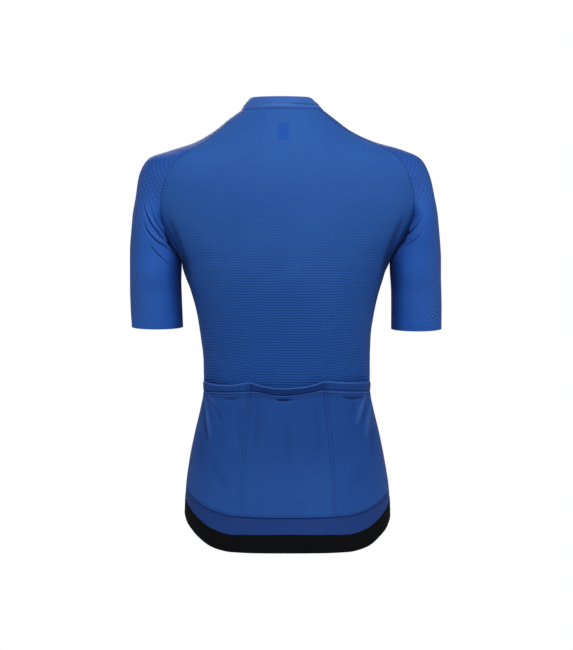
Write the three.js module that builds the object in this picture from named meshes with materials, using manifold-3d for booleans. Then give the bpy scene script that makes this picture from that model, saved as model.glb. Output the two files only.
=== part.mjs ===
// A short-sleeved cycling jersey in stretch knit, filled out as it is when worn, with no wearer in it.
// Millimetres, +Z up. The chest faces -Y, the back +Y and the wearer's left is +X.
// The origin is the middle of the neck, level with the collar seam at the sides.
//
// The cloth is drawn as rings. In the yoke each ring runs from the middle of the back, over a back
// raglan seam, round the outside of the arm and over a front raglan seam to the zip. At the underarm
// the ring parts in two: below it, the body and each arm have rings of their own.
// Every panel is a wall on those rings, and stops just short of each seam.

import * as THREE from "three";
import { mergeVertices } from "three/addons/utils/BufferGeometryUtils.js";
import Module from "manifold-3d";

// Cloth and making
const CLOTH = 1.2;
const BAND_CLOTH = 1.8;
const SEAM_HALF_GAP = 0.24;
const UNDERARM_GAP = 1.5;
const DEG = Math.PI / 180;

// Heights
const NECK_SEAM = 1.5;
const UNDERARM = -219;
const CUFF = { left: -311.2, right: -314 };
const CUFF_DROP_BACK = 4.4;
const CUFF_RISE_FRONT = 4;
const WAIST = -400;

// The yoke, a row for each ring. z: the ring's height at the middle of the back. back, front: how far
// the middle of the back and of the front stand from the neck's axis. frontZ: the ring's height at the
// zip. leftX, rightX: the outside of the arms, and leftZ, rightZ the ring's height there. seamL, seamR,
// frontL, frontR: how far out the back and front raglan seams lie. bodyL, bodyR: where the body's own
// curve would end, without a sleeve. full: how square that curve is, where 0.55 gives an ellipse.
// split: 0 where body and sleeve are one curve, 1 where the sleeve is as round as an arm.
const RINGS = table(
  [
    "z", "back", "front", "frontZ", "leftX", "rightX", "leftZ", "rightZ",
    "seamL", "seamR", "frontL", "frontR", "bodyL", "bodyR", "full", "split",
  ],
  [
    [1.5, 60, -50, -52, 65, 52, 2, 3, 56, 47, 49, 37, 65, 52, 0.552, 0],
    [-14, 71, -62, -70, 83, 70, -11, -11, 75, 63, 64, 52, 83, 70, 0.552, 0],
    [-32, 80, -73, -86, 104, 93, -28, -28, 97, 86, 80, 70, 104, 93, 0.552, 0],
    [-50, 87.5, -83, -101, 133.5, 127.5, -45, -44, 118, 119, 96, 89, 133.5, 127.5, 0.552, 0],
    [-68, 93.5, -91, -115, 167, 166, -56, -55, 140, 146, 113, 108, 167, 166, 0.552, 0],
    [-88, 98.5, -98, -129, 199.5, 194, -68, -68, 160, 165, 130, 127, 199.5, 194, 0.552, 0],
    [-110, 102.5, -104.5, -143, 214, 208, -94, -94, 173, 177, 146, 144, 214, 208, 0.556, 0],
    [-132, 104.5, -110, -157, 218.5, 214.5, -123, -123, 180, 183, 158, 156, 209, 205, 0.57, 0.4],
    [-154, 105, -114.5, -170, 223, 219, -150, -148, 181, 183, 166, 164, 197, 195, 0.59, 0.8],
    [-174, 104.5, -117.5, -182, 225, 221, -173, -169, 176, 176.5, 168, 166, 183, 182, 0.615, 0.95],
    [-190, 103.8, -120, -194, 226.5, 222.5, -190, -186, 169, 168.5, 165, 163, 172, 171, 0.635, 1],
    [-204, 102.8, -122, -206, 227, 223.5, -205, -201, 160, 158, 159, 157, 161.3, 159.3, 0.65, 1],
    [-213, 101.8, -122.8, -213.6, 227, 224, -214, -211, 154.2, 152, 154, 151.8, 154.5, 152.3, 0.66, 1],
    [-219, 101, -123.3, -219, 227, 224, -220, -218, 151.6, 149.2, 151.6, 149.2, 151.6, 149.2, 0.665, 1],
  ],
);

// The body below the underarm. left, right: its half widths.
const BODY = table(
  ["z", "back", "front", "left", "right", "full"],
  [
    [-219, 101, -123.3, 151.6, 149.2, 0.665],
    [-226, 100.2, -124, 150.4, 146, 0.665],
    [-234, 99.2, -124.3, 147.6, 142.4, 0.66],
    [-243, 98, -124, 144, 139.4, 0.655],
    [-262, 95.2, -121.5, 137.6, 133.4, 0.645],
    [-290, 90.8, -114.5, 130, 127, 0.63],
    [-325, 84.8, -104.5, 124.2, 121.8, 0.615],
    [-362, 79.8, -96, 120, 120.6, 0.6],
    [-400, 77.6, -92, 119.6, 120.6, 0.59],
    [-430, 80.6, -92.5, 124.4, 125.6, 0.59],
    [-465, 88, -95.5, 132.6, 134, 0.595],
    [-505, 98, -99.5, 140.6, 142, 0.6],
    [-545, 106.8, -102, 145.6, 148, 0.6],
    [-580, 112.4, -103, 147.2, 150, 0.6],
    [-615, 115.8, -103, 147.4, 150, 0.6],
    [-645, 117.4, -102.6, 147, 149.4, 0.6],
  ],
);

// The sleeves below the underarm. inner, outer: the two sides of the arm, left and right.
const ARM = table(
  ["z", "innerL", "outerL", "innerR", "outerR", "middle", "deepBack", "deepFront"],
  [
    [-219, 153.1, 227, 150.7, 224, 1, 54, 57],
    [-236, 153, 227, 151.2, 224, -1.5, 50.5, 54.5],
    [-256, 152.2, 227, 151.6, 224.6, -4, 47.5, 51],
    [-282, 151.2, 226.4, 151.8, 225.2, -7, 45, 47.5],
    [-313, 150, 224.6, 151.8, 225.2, -11, 43.5, 43],
  ],
);
// How much deeper a sleeve is for each millimetre above the underarm
const ARM_RISE = { back: 0.06, front: 0.14 };
const SIDE_Y = 1;
const EDGE_SHIFT = 2;

// The lower edges, by the angle round the body from their lowest point, a little right of the back's
// middle.
const EDGES = table(
  ["turn", "pocket", "grip", "hem"],
  [
    [0, -583.5, -606.5, -632],
    [15, -583, -607.5, -632],
    [32, -580.5, -608, -631.5],
    [46, -573.5, -602, -627],
    [60, -562, -587.5, -613],
    [76, -549, -569.5, -595],
    [90, -541, -557, -581],
    [120, -529, -541, -565],
    [150, -523, -535, -559],
    [180, -521, -533, -557],
  ],
);

// The collar: its top ring.
const COLLAR = {
  centreX: 8,
  half: 47,
  back: 55,
  front: -52,
  backZ: 19.7,
  sideZ: 18.4,
  frontZ: -25,
  sideY: 5,
  swell: 0.8,
};
const NECK_CENTRE_X = 6.5;

// The zip
const ZIP = { halfGap: 3.4, coil: 2, tape: 11, tapeDepth: 1.8, tapeCloth: 1 };
const SLIDER = { long: 10, wide: 8, cover: 1.1, clear: 0.35, up: 0.5, wedge: 3, post: 2 };
const BRIDGE = { long: 6.4, wide: 2.4, high: 3.1, bar: 1, hole: 1.3 };
const PULL = { long: 22, wide: 5.6, thick: 1.5, ring: 0.62, eyeHalf: 1.65, eye: 4.6 };

// The pockets are one panel, sewn to the back down its sides, along its foot and along two dividers.
// These lie at angles round the back. An empty pocket's mouth stands off the back.
const POCKET_EDGE = 81;
const DIVIDERS = { right: { top: -26.5, foot: -25 }, left: { top: 25.2, foot: 23.9 } };
const DIVIDER_HALF = 1.1;
const POCKET_STAND = { right: 8, centre: 7.6, left: 8 };
const POCKET_BAND = 17;
const POCKET_GAP = 0.4;
// The height of the mouths' edge, by how far it is from the middle of the back.
const MOUTHS = table(
  ["x", "z"],
  [
    [-120, -389.5],
    [-108, -390.8],
    [-90, -391.3],
    [-72, -390.4],
    [-57, -389.4],
    [-50, -390.2],
    [-42, -392.8],
    [-33, -395.1],
    [-19, -397.7],
    [5, -399.3],
    [16, -398.8],
    [35, -395.5],
    [49, -391.4],
    [54, -391],
    [60, -391.6],
    [67, -393.3],
    [78, -394.7],
    [93, -394.5],
    [108, -391.5],
    [120, -389],
  ],
);

// The size label, inside the back
const LABEL = { centre: 4.5, wide: 16, top: -17, foot: -41, thick: 1 };

// The largest folds. Each runs from one point to another as seen from behind, x and z, with a belly.
const SLEEVE_FOLDS = [
  { side: 1, from: [160, -196], to: [203, -150], bow: -7, width: 4.6, depth: 2 },
  { side: 1, from: [160, -200], to: [199, -118], bow: -7, width: 4.4, depth: 1.7 },
  { side: 1, from: [162, -214], to: [200, -174], bow: -3, width: 4.2, depth: 1.4 },
  { side: -1, from: [160, -196], to: [192, -160], bow: -5, width: 4.2, depth: 1.5 },
  { side: -1, from: [162, -202], to: [196, -180], bow: -6, width: 4, depth: 1.3 },
];
const BACK_FOLDS = [
  { from: [54, -389], to: [52, -312], bow: 2, width: 10, depth: -1.6 },
  { from: [-53, -388], to: [-50, -298], bow: -2, width: 10, depth: -1.7 },
  { from: [148, -186], to: [120, -244], bow: 5, width: 13, depth: 2.4 },
  { from: [-146, -182], to: [-118, -240], bow: -5, width: 13, depth: 2.2 },
];

// Numbers

// A table with named columns. at(name, x) reads a column smoothly at x, where x runs down column one.
function table(names, rows) {
  const xs = rows.map((r) => r[0]);
  const columns = new Map(names.map((n, k) => [n, rows.map((r) => r[k])]));
  return {
    xs,
    at: (name, x) => smoothColumn(xs, columns.get(name), x),
  };
}

// A curve through (xs, ys) that never overshoots its points. xs may rise or fall.
function smoothColumn(xs, ys, x) {
  const fall = xs[0] > xs[xs.length - 1] ? -1 : 1;
  let i = 0;
  while (i < xs.length - 2 && fall * (x - xs[i + 1]) > 0) i++;
  const step = (k) => xs[k + 1] - xs[k];
  const slope = (k) => (ys[k + 1] - ys[k]) / step(k);
  const tangent = (k) => {
    if (k === 0) return slope(0);
    if (k === xs.length - 1) return slope(k - 1);
    const before = slope(k - 1);
    const after = slope(k);
    if (before * after <= 0) return 0;
    const a = Math.abs(step(k - 1));
    const b = Math.abs(step(k));
    return (3 * (a + b)) / ((2 * b + a) / before + (2 * a + b) / after);
  };
  const h = step(i);
  const t = Math.min(Math.max((x - xs[i]) / h, 0), 1);
  const u = 1 - t;
  return (
    u * u * (1 + 2 * t) * ys[i] +
    t * u * u * h * tangent(i) +
    t * t * (3 - 2 * t) * ys[i + 1] -
    t * t * u * h * tangent(i + 1)
  );
}

const mix = (a, b, t) => a + (b - a) * t;
const clamp01 = (t) => Math.min(Math.max(t, 0), 1);
const ease = (t) => clamp01(t) * clamp01(t) * (3 - 2 * clamp01(t));
const spread = (n, from, to) => Array.from({ length: n + 1 }, (_, i) => mix(from, to, i / n));
const vec = (x, y, z) => new THREE.Vector3(x, y, z);

// How high an edge lies at a turn round the body.
const edgeAt = (name, turn) => EDGES.at(name, Math.min(Math.abs(turn + EDGE_SHIFT), 180));

// A point at t on the cubic arc from a to d, with handles at b and c. Flat points [x, y].
function arcPoint(a, b, c, d, t) {
  const u = 1 - t;
  return [0, 1].map(
    (k) => u * u * u * a[k] + 3 * u * u * t * b[k] + 3 * u * t * t * c[k] + t * t * t * d[k],
  );
}

// The rings

// One ring of the yoke on one side: the middle, the raglan seam and the outside of the arm.
function yokeRing(side, face, z) {
  const name = side > 0 ? "L" : "R";
  const midX = side * NECK_CENTRE_X * ease(1 + (z - NECK_SEAM) / 150);
  const outX = RINGS.at(side > 0 ? "leftX" : "rightX", z);
  const ring = {
    midX,
    outX,
    outZ: RINGS.at(side > 0 ? "leftZ" : "rightZ", z),
    sideY: mix(8, SIDE_Y, ease((NECK_SEAM - z) / (NECK_SEAM - UNDERARM))),
    midZ: face > 0 ? z : RINGS.at("frontZ", z),
    seamX: RINGS.at((face > 0 ? "seam" : "front") + name, z),
    split: RINGS.at("split", z),
    wide: outX - midX,
  };
  ring.deep = Math.abs(RINGS.at(face > 0 ? "back" : "front", z) - ring.sideY);
  ring.quarter = quarterCurve(midX, RINGS.at("body" + name, z), ring.deep, RINGS.at("full", z));
  // Where along that curve the seam lies.
  let low = 0;
  let high = 1;
  for (let i = 0; i < 30; i++) {
    const t = (low + high) / 2;
    if (ring.quarter(t)[0] < ring.seamX) low = t;
    else high = t;
  }
  ring.seamT = high;
  ring.seamOff = ring.quarter(high)[1];
  return ring;
}

// A quarter of an oval, from the middle of the back or front at t = 0 to the side at t = 1.
const quarterCurve = (midX, sideX, deep, full) => (t) =>
  arcPoint([midX, deep], [mix(midX, sideX, full), deep], [sideX, full * deep], [sideX, 0], t);

// The height of a ring at x: level in the middle and at the outside, and smooth between.
const ringHeight = (r, x) => mix(r.midZ, r.outZ, clamp01((x - r.midX) / r.wide) ** 2);

// The body from the middle, s = 0, to its seam, s = 1. side is 1 on the left and -1 on the right,
// face is 1 on the back and -1 on the front.
function bodyPoint(side, face, z, s) {
  if (z < UNDERARM) {
    const half = BODY.at(side > 0 ? "left" : "right", z);
    const deep = Math.abs(BODY.at(face > 0 ? "back" : "front", z) - SIDE_Y);
    const [x, off] = quarterCurve(0, half, deep, BODY.at("full", z))(s);
    return vec(side * x, SIDE_Y + face * off, z);
  }
  const r = yokeRing(side, face, z);
  const [x, off] = r.quarter(s * r.seamT);
  return vec(side * x, r.sideY + face * off, ringHeight(r, x));
}

const cuffAt = (side) => (side > 0 ? CUFF.left : CUFF.right);

// Half of a sleeve's ring: from the seam, s = 0, to the outside of the arm, s = 1.
function sleeveHalf(side, face, z, s) {
  if (z < UNDERARM) {
    const inner = ARM.at(side > 0 ? "innerL" : "innerR", z);
    const outer = ARM.at(side > 0 ? "outerL" : "outerR", z);
    const middle = ARM.at("middle", z);
    const deep = ARM.at(face > 0 ? "deepBack" : "deepFront", z);
    const handle = (4 / 3) * deep;
    const [x, off] = arcPoint([inner, 0], [inner, handle], [outer, handle], [outer, 0], s);
    const low = (face > 0 ? CUFF_DROP_BACK : -CUFF_RISE_FRONT) * (off / deep);
    const share = (UNDERARM - z) / (UNDERARM - cuffAt(side));
    return vec(side * x, middle + face * off, z - low * ease(share));
  }
  const r = yokeRing(side, face, z);
  // Where there is no split, the handles give the rest of the ellipse that the body's curve began.
  const share = Math.min((r.seamX - r.midX) / r.wide, 0.998);
  const rest = Math.sqrt(1 - share * share);
  const k = (4 / 3) * Math.tan(Math.acos(share) / 4);
  const flat = [r.seamX + k * r.wide * rest, r.seamOff - k * r.deep * share];
  // Where there is, they give a sleeve of the arm's depth, which leaves the seam steeply.
  const rise = face > 0 ? ARM_RISE.back : ARM_RISE.front;
  const deep = ARM.at(face > 0 ? "deepBack" : "deepFront", UNDERARM) + rise * (z - UNDERARM);
  const round = (4 / 3) * (deep - 0.16 * r.seamOff);
  const seamX = r.seamX + UNDERARM_GAP * Math.sqrt(Math.max(r.split, 0)) * ease((-120 - z) / 60);
  const [x, off] = arcPoint(
    [seamX, r.seamOff],
    [mix(flat[0], seamX, r.split), mix(flat[1], round, r.split)],
    [r.outX, mix(k * r.deep, round, r.split)],
    [r.outX, 0],
    s,
  );
  return vec(side * x, r.sideY + face * off, ringHeight(r, x));
}

// A sleeve all round: u = 0 at the back seam, 0.5 outside the arm and 1 at the front seam.
const sleevePoint = (side, z, u) =>
  u <= 0.5 ? sleeveHalf(side, 1, z, 2 * u) : sleeveHalf(side, -1, z, 2 - 2 * u);

// The back, by a turn from its middle that is above 0 on the left, in degrees, up to 90.
const backPoint = (turn, z) => bodyPoint(turn >= 0 ? 1 : -1, 1, z, Math.abs(turn) / 90);
// The whole body below the underarm, with the turn up to 180 at the zip.
const bodyAt = (turn, z) => {
  const away = Math.abs(turn);
  const side = turn >= 0 ? 1 : -1;
  return away <= 90 ? bodyPoint(side, 1, z, away / 90) : bodyPoint(side, -1, z, (180 - away) / 90);
};

// The collar by its turn and its height, 0 at the seam and 1 at the top.
function collarPoint(turn, v) {
  const side = turn >= 0 ? 1 : -1;
  const face = Math.abs(turn) <= 90 ? 1 : -1;
  const a = Math.min(Math.abs(turn), 180 - Math.abs(turn)) * DEG;
  const r = yokeRing(side, face, NECK_SEAM);
  const low = vec(
    side * (r.midX + r.wide * Math.sin(a)),
    r.sideY + face * r.deep * Math.cos(a),
    ringHeight(r, r.midX + r.wide * Math.sin(a)) + 0.35,
  );
  const c = COLLAR;
  const midY = face > 0 ? c.back : c.front;
  const midZ = face > 0 ? c.backZ : c.frontZ;
  const high = vec(
    c.centreX + side * c.half * Math.sin(a),
    c.sideY + (midY - c.sideY) * Math.cos(a),
    mix(midZ, c.sideZ, Math.sin(a) ** 2),
  );
  const swell = c.swell * Math.sin(v * Math.PI);
  const p = low.lerp(high, v);
  const out = vec(p.x - c.centreX, p.y - c.sideY, 0).normalize();
  return p.addScaledVector(out, swell);
}

// How deep a set of folds presses the cloth in at p, seen from behind.
function foldDepth(folds, p) {
  let depth = 0;
  for (const f of folds) {
    const dx = f.to[0] - f.from[0];
    const dz = f.to[1] - f.from[1];
    const long = Math.hypot(dx, dz);
    const x = Math.abs(p.x) * (f.side ? 1 : Math.sign(p.x)) - f.from[0];
    const along = (x * dx + (p.z - f.from[1]) * dz) / (long * long);
    if (along < 0 || along > 1) continue;
    const away = (x * dz - (p.z - f.from[1]) * dx) / long - f.bow * Math.sin(along * Math.PI);
    depth += f.depth * Math.sin(along * Math.PI) ** 0.7 * Math.exp(-((away / f.width) ** 2));
  }
  return depth;
}

// Solids

// Turns rows of points on a surface's outside into a closed wall, thick on its inside.
// turned says that the rows and columns run so that the faces would look in.
// insideRows gives the inside's points where they don't follow from the thickness.
function wall(rows, thick, turned = false, insideRows = null) {
  const points = [];
  const given = [];
  const found = new Map();
  const numbers = rows.map((row, i) =>
    row.map((p, j) => {
      const key = [p.x, p.y, p.z].map((c) => Math.round(c * 1000)).join();
      if (!found.has(key)) {
        found.set(key, points.length);
        points.push(p);
        given.push(insideRows ? insideRows[i][j] : null);
      }
      return found.get(key);
    }),
  );
  const faces = [];
  const add = (a, b, c) => {
    if (a !== b && b !== c && c !== a) faces.push(turned ? [a, c, b] : [a, b, c]);
  };
  for (let i = 0; i + 1 < rows.length; i++) {
    for (let j = 0; j + 1 < rows[i].length; j++) {
      const [a, b, c, d] = [numbers[i][j], numbers[i][j + 1], numbers[i + 1][j + 1], numbers[i + 1][j]];
      add(a, d, b);
      add(b, d, c);
    }
  }
  const normals = points.map(() => vec(0, 0, 0));
  for (const [a, b, c] of faces) {
    const n = points[b].clone().sub(points[a]).cross(points[c].clone().sub(points[a]));
    for (const k of [a, b, c]) normals[k].add(n);
  }
  const inside = points.map(
    (p, k) => given[k] ?? p.clone().addScaledVector(normals[k].normalize(), -thick),
  );
  const edges = new Map();
  for (const [a, b, c] of faces) {
    for (const [p, q] of [[a, b], [b, c], [c, a]]) edges.set(p + "," + q, [p, q]);
  }
  const n = points.length;
  const all = faces.concat(faces.map(([a, b, c]) => [n + a, n + c, n + b]));
  for (const [p, q] of edges.values()) {
    if (!edges.has(q + "," + p)) all.push([q, p, n + p], [q, n + p, n + q]);
  }
  return geometryOf(points.concat(inside), all);
}

function geometryOf(points, faces) {
  const geometry = new THREE.BufferGeometry();
  const numbers = points.flatMap((p) => p.toArray());
  geometry.setAttribute("position", new THREE.Float32BufferAttribute(numbers, 3));
  geometry.setIndex(faces.flat());
  geometry.computeVertexNormals();
  return geometry;
}

// Moves a point on a surface out by how far, along the normal that its two neighbours give.
function movedOut(at, u, v, far) {
  const step = 0.05;
  const p = at(u, v);
  const across = at(u + step, v).sub(at(u - step, v));
  const along = at(u, v + step).sub(at(u, v - step));
  return p.addScaledVector(along.cross(across).normalize(), far);
}

// Where s has to be so that a row stops short of its seam.
function shortOf(point, seamHalfGap) {
  const last = point(1);
  const near = point(0.98);
  return 1 - (0.02 * seamHalfGap) / Math.max(last.distanceTo(near), 1e-6);
}

// Panels

// How far below the neck seam each row of the yoke's panels lies
const YOKE_ROWS = [
  0, 9, 18, 29, 41, 54, 67, 80, 94, 108, 122, 136, 149, 161, 172, 182, 191, 199, 206, 212, 217,
];
const yokeHeights = YOKE_ROWS.map((d) => NECK_SEAM - SEAM_HALF_GAP - d);
yokeHeights.push(UNDERARM + 0.3);

const bodyHeights = [-225, -233, -243, -256, -272, -291, -313, -338, -365];

function backPanel() {
  const columns = spread(11, 0, 1);
  const row = (z) => {
    const half = (side) => {
      const end = shortOf((s) => bodyPoint(side, 1, z, s), SEAM_HALF_GAP);
      return columns.map((s) => bodyPoint(side, 1, z, s * end));
    };
    return [...half(-1).reverse(), ...half(1).slice(1)];
  };
  const rows = [...yokeHeights, ...bodyHeights].map(row);
  // Below the waist the rows bend to follow the edge of the hem's grip.
  const lower = spread(11, 0, 1);
  const turns = [...columns.map((s) => -90 * s).reverse(), ...columns.slice(1).map((s) => 90 * s)];
  for (const v of lower) {
    rows.push(
      turns.map((turn) => {
        const z = mix(WAIST + 12, edgeAt("grip", turn) + SEAM_HALF_GAP, v);
        const side = turn >= 0 ? 1 : -1;
        const end = shortOf((s) => bodyPoint(side, 1, z, s), SEAM_HALF_GAP);
        return bodyPoint(side, 1, z, (Math.abs(turn) / 90) * end);
      }),
    );
  }
  rows.forEach((r) => r.forEach((p) => (p.y -= foldDepth(BACK_FOLDS, p))));
  return wall(rows, CLOTH, true);
}

function frontPanel(side) {
  const columns = spread(9, 0, 1);
  const zipEdge = (z) => {
    const r = bodyPoint(side, -1, z, 0);
    let s = 0;
    while (Math.abs(bodyPoint(side, -1, z, s).x - r.x) < ZIP.halfGap) s += 0.0005;
    return s;
  };
  const row = (z, end = 1) => {
    const start = zipEdge(z);
    const stop = end * shortOf((s) => bodyPoint(side, -1, z, s), SEAM_HALF_GAP);
    return columns.map((t) => bodyPoint(side, -1, z, mix(start, stop, t)));
  };
  const rows = yokeHeights.map((z) => row(z));
  for (const z of bodyHeights) rows.push(row(z));
  for (const v of spread(5, 0, 1)) {
    const atWaist = WAIST + 12;
    const start = zipEdge(atWaist);
    rows.push(
      columns.map((t) => {
        const s = mix(start, 1, t);
        const z = mix(atWaist, edgeAt("grip", side * (180 - 90 * s)) + SEAM_HALF_GAP, v);
        const stop = shortOf((q) => bodyPoint(side, -1, z, q), SEAM_HALF_GAP);
        return bodyPoint(side, -1, z, mix(zipEdge(z), stop, t));
      }),
    );
  }
  return wall(rows, CLOTH, side < 0);
}

function sleeve(side) {
  const columns = [
    ...spread(9, 0, 0.26),
    ...spread(4, 0.26, 0.5).slice(1),
    ...spread(8, 0.5, 1).slice(1),
  ];
  const folds = SLEEVE_FOLDS.filter((f) => f.side === side);
  const rows = yokeHeights.map((z) => {
    const fromBack = 1 - shortOf((s) => sleeveHalf(side, 1, z, 1 - s), SEAM_HALF_GAP);
    const fromFront = 1 - shortOf((s) => sleeveHalf(side, -1, z, 1 - s), SEAM_HALF_GAP);
    return columns.map((u) => {
      const t = u < 0.5 ? Math.max(u, fromBack / 2) : Math.min(u, 1 - fromFront / 2);
      return sleevePoint(side, z, t);
    });
  });
  for (const z of [-223, -229, -237, -247, -259, -273, -292, cuffAt(side)]) {
    rows.push(columns.map((u) => sleevePoint(side, z, u)));
  }
  const pressed = rows.map((row) =>
    row.map((p, j) => {
      if (columns[j] > 0.5) return p;
      const depth = foldDepth(folds, p) * ease((0.5 - columns[j]) * 6) * ease(columns[j] * 12);
      return p.add(vec(-side * depth * 0.35, -depth * 0.9, 0));
    }),
  );
  return wall(pressed, CLOTH, side > 0);
}

function collar() {
  const gap = (v) => {
    let turn = 180;
    while (Math.abs(collarPoint(turn, v).x - collarPoint(180, v).x) < ZIP.halfGap) turn -= 0.05;
    return 180 - turn;
  };
  const rows = [1, 0.75, 0.5, 0.25, 0].map((v) =>
    spread(40, -180 + gap(v), 180 - gap(v)).map((turn) => collarPoint(turn, v)),
  );
  return wall(rows, CLOTH, true);
}

function hemGrip() {
  const gap = Math.asin(ZIP.halfGap / BODY.at("left", EDGES.at("grip", 180))) / DEG;
  const half = [...spread(11, 0, 90), ...spread(9, 90, 180 - gap).slice(1)];
  const turns = [...half.map((t) => -t).reverse(), ...half.slice(1)];
  const rows = [0, 0.5, 1].map((v) =>
    turns.map((turn) => {
      const z = mix(edgeAt("grip", turn) - SEAM_HALF_GAP, edgeAt("hem", turn), v);
      return bodyAt(turn, z);
    }),
  );
  return wall(rows, CLOTH + 0.1, true);
}

// The pockets' panel lies on the back. Each pocket stands off it in the middle of its mouth.
function pocketPanel() {
  const { left, right } = DIVIDERS;
  const runs = [
    [() => -POCKET_EDGE, (v) => mix(right.top, right.foot, v) - DIVIDER_HALF, POCKET_STAND.right],
    [
      (v) => mix(right.top, right.foot, v) + DIVIDER_HALF,
      (v) => mix(left.top, left.foot, v) - DIVIDER_HALF,
      POCKET_STAND.centre,
    ],
    [(v) => mix(left.top, left.foot, v) + DIVIDER_HALF, () => POCKET_EDGE, POCKET_STAND.left],
  ];
  const rows = (thick) =>
    spread(10, 0, 1).map((v) =>
      runs.flatMap(([from, to, stand]) =>
        spread(10, 0, 1).map((t) => {
          const bow = Math.sin(t * Math.PI);
          const turn = mix(from(v), to(v), t);
          const high = MOUTHS.at("z", backPoint(turn, -392).x);
          const band = high - POCKET_BAND;
          const low = edgeAt("pocket", turn);
          const z = v <= 0.2 ? mix(high, band, v / 0.2) : mix(band - 0.6, low, (v - 0.3) / 0.7);
          const lean = v <= 0.2 ? 1 - 1.7 * v : 0.66 * (1 - ease((v - 0.2) / 0.75));
          const off = stand * Math.max(bow, 0) ** 0.8 * lean;
          const cloth = v <= 0.2 ? BAND_CLOTH : CLOTH;
          return movedOut(backPoint, turn, z, POCKET_GAP + off + (thick ? cloth : 0));
        }),
      ),
    );
  return wall(rows(true), 0, true, rows(false));
}

function neckLabel() {
  const turnAt = (x, z) => {
    let turn = -90;
    while (backPoint(turn, z).x < x && turn < 90) turn += 0.1;
    return turn;
  };
  const rows = spread(4, LABEL.top, LABEL.foot).map((z) =>
    spread(3, LABEL.centre - LABEL.wide / 2, LABEL.centre + LABEL.wide / 2).map((x) =>
      movedOut(backPoint, turnAt(x, z), z, -CLOTH - 0.35),
    ),
  );
  return wall(rows, LABEL.thick, true);
}

// The zip

// The line of the front's middle, from the top of the collar to the hem: points and normals at x.
function zipStations() {
  const stations = [];
  for (const v of [0.96, 0.72, 0.48, 0.24, 0]) {
    stations.push((x) => {
      const a = 180 - Math.asin(Math.abs(x) / COLLAR.half) / DEG;
      const turn = (x >= 0 ? 1 : -1) * a;
      const p = collarPoint(turn, v);
      const up = collarPoint(turn, v + 0.02).sub(collarPoint(turn, v - 0.02));
      const out = vec(x / COLLAR.half, -1, 0).normalize();
      return { p, n: out.addScaledVector(up.normalize(), -out.dot(up)).normalize() };
    });
  }
  const lowest = EDGES.at("hem", 180) + 0.5;
  const heights = [...yokeHeights, ...bodyHeights, ...spread(7, WAIST + 12, lowest)];
  for (const z of heights) {
    stations.push((x) => {
      const side = x >= 0 ? 1 : -1;
      const middle = bodyPoint(side, -1, z, 0).x;
      let s = 0;
      while (Math.abs(bodyPoint(side, -1, z, s).x - middle) < Math.abs(x)) s += 0.0005;
      const p = bodyPoint(side, -1, z, s);
      const down = bodyPoint(side, -1, z - 0.5, s).sub(bodyPoint(side, -1, z + 0.5, s));
      const across = bodyPoint(side, -1, z, s + 0.01).sub(bodyPoint(side, -1, z, s)).multiplyScalar(side);
      return { p, n: across.cross(down).normalize().multiplyScalar(-1) };
    });
  }
  return stations;
}

// The closed zip: a tape behind both edges, with the coil standing up through the gap.
function zipChain() {
  const { coil, tape, tapeDepth, tapeCloth } = ZIP;
  const deep = tapeDepth + tapeCloth;
  const section = [
    [-tape, deep],
    [-coil, deep],
    [coil, deep],
    [tape, deep],
    [tape, tapeDepth],
    [coil, tapeDepth],
    [coil, -0.2],
    [-coil, -0.2],
    [-coil, tapeDepth],
    [-tape, tapeDepth],
  ];
  const points = [];
  const faces = [];
  const stations = zipStations();
  stations.forEach((at) => {
    for (const [x, depth] of section) {
      const { p, n } = at(x);
      points.push(p.addScaledVector(n, -depth));
    }
  });
  const m = section.length;
  for (let i = 0; i + 1 < stations.length; i++) {
    for (let j = 0; j < m; j++) {
      const a = i * m + j;
      const b = i * m + ((j + 1) % m);
      faces.push([a, b, a + m], [b, b + m, a + m]);
    }
  }
  // Each end is closed over the tape's left, middle and right stretch and the coil above it.
  const caps = [[0, 1, 8, 9], [1, 2, 5, 8], [2, 3, 4, 5], [8, 5, 6, 7]];
  const lastRow = (stations.length - 1) * m;
  for (const [a, b, c, d] of caps) {
    faces.push([a, c, b], [a, d, c]);
    faces.push([lastRow + a, lastRow + b, lastRow + c], [lastRow + a, lastRow + c, lastRow + d]);
  }
  return geometryOf(points, faces);
}

const wasm = await Module();
wasm.setup();

function solidOf(geometry) {
  const bare = geometry.index ? geometry.toNonIndexed() : geometry.clone();
  bare.deleteAttribute("normal");
  bare.deleteAttribute("uv");
  const merged = mergeVertices(bare, 1e-4);
  return new wasm.Manifold(
    new wasm.Mesh({
      numProp: 3,
      vertProperties: merged.attributes.position.array,
      triVerts: new Uint32Array(merged.index.array),
    }),
  );
}

function geometryFrom(solid) {
  const mesh = solid.getMesh();
  const geometry = new THREE.BufferGeometry();
  geometry.setAttribute("position", new THREE.BufferAttribute(mesh.vertProperties, 3));
  geometry.setIndex(new THREE.BufferAttribute(mesh.triVerts, 1));
  geometry.computeVertexNormals();
  return geometry;
}

const block = (wide, deep, high, x, y, z) =>
  solidOf(new THREE.BoxGeometry(wide, deep, high).translate(x, y, z));

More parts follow.
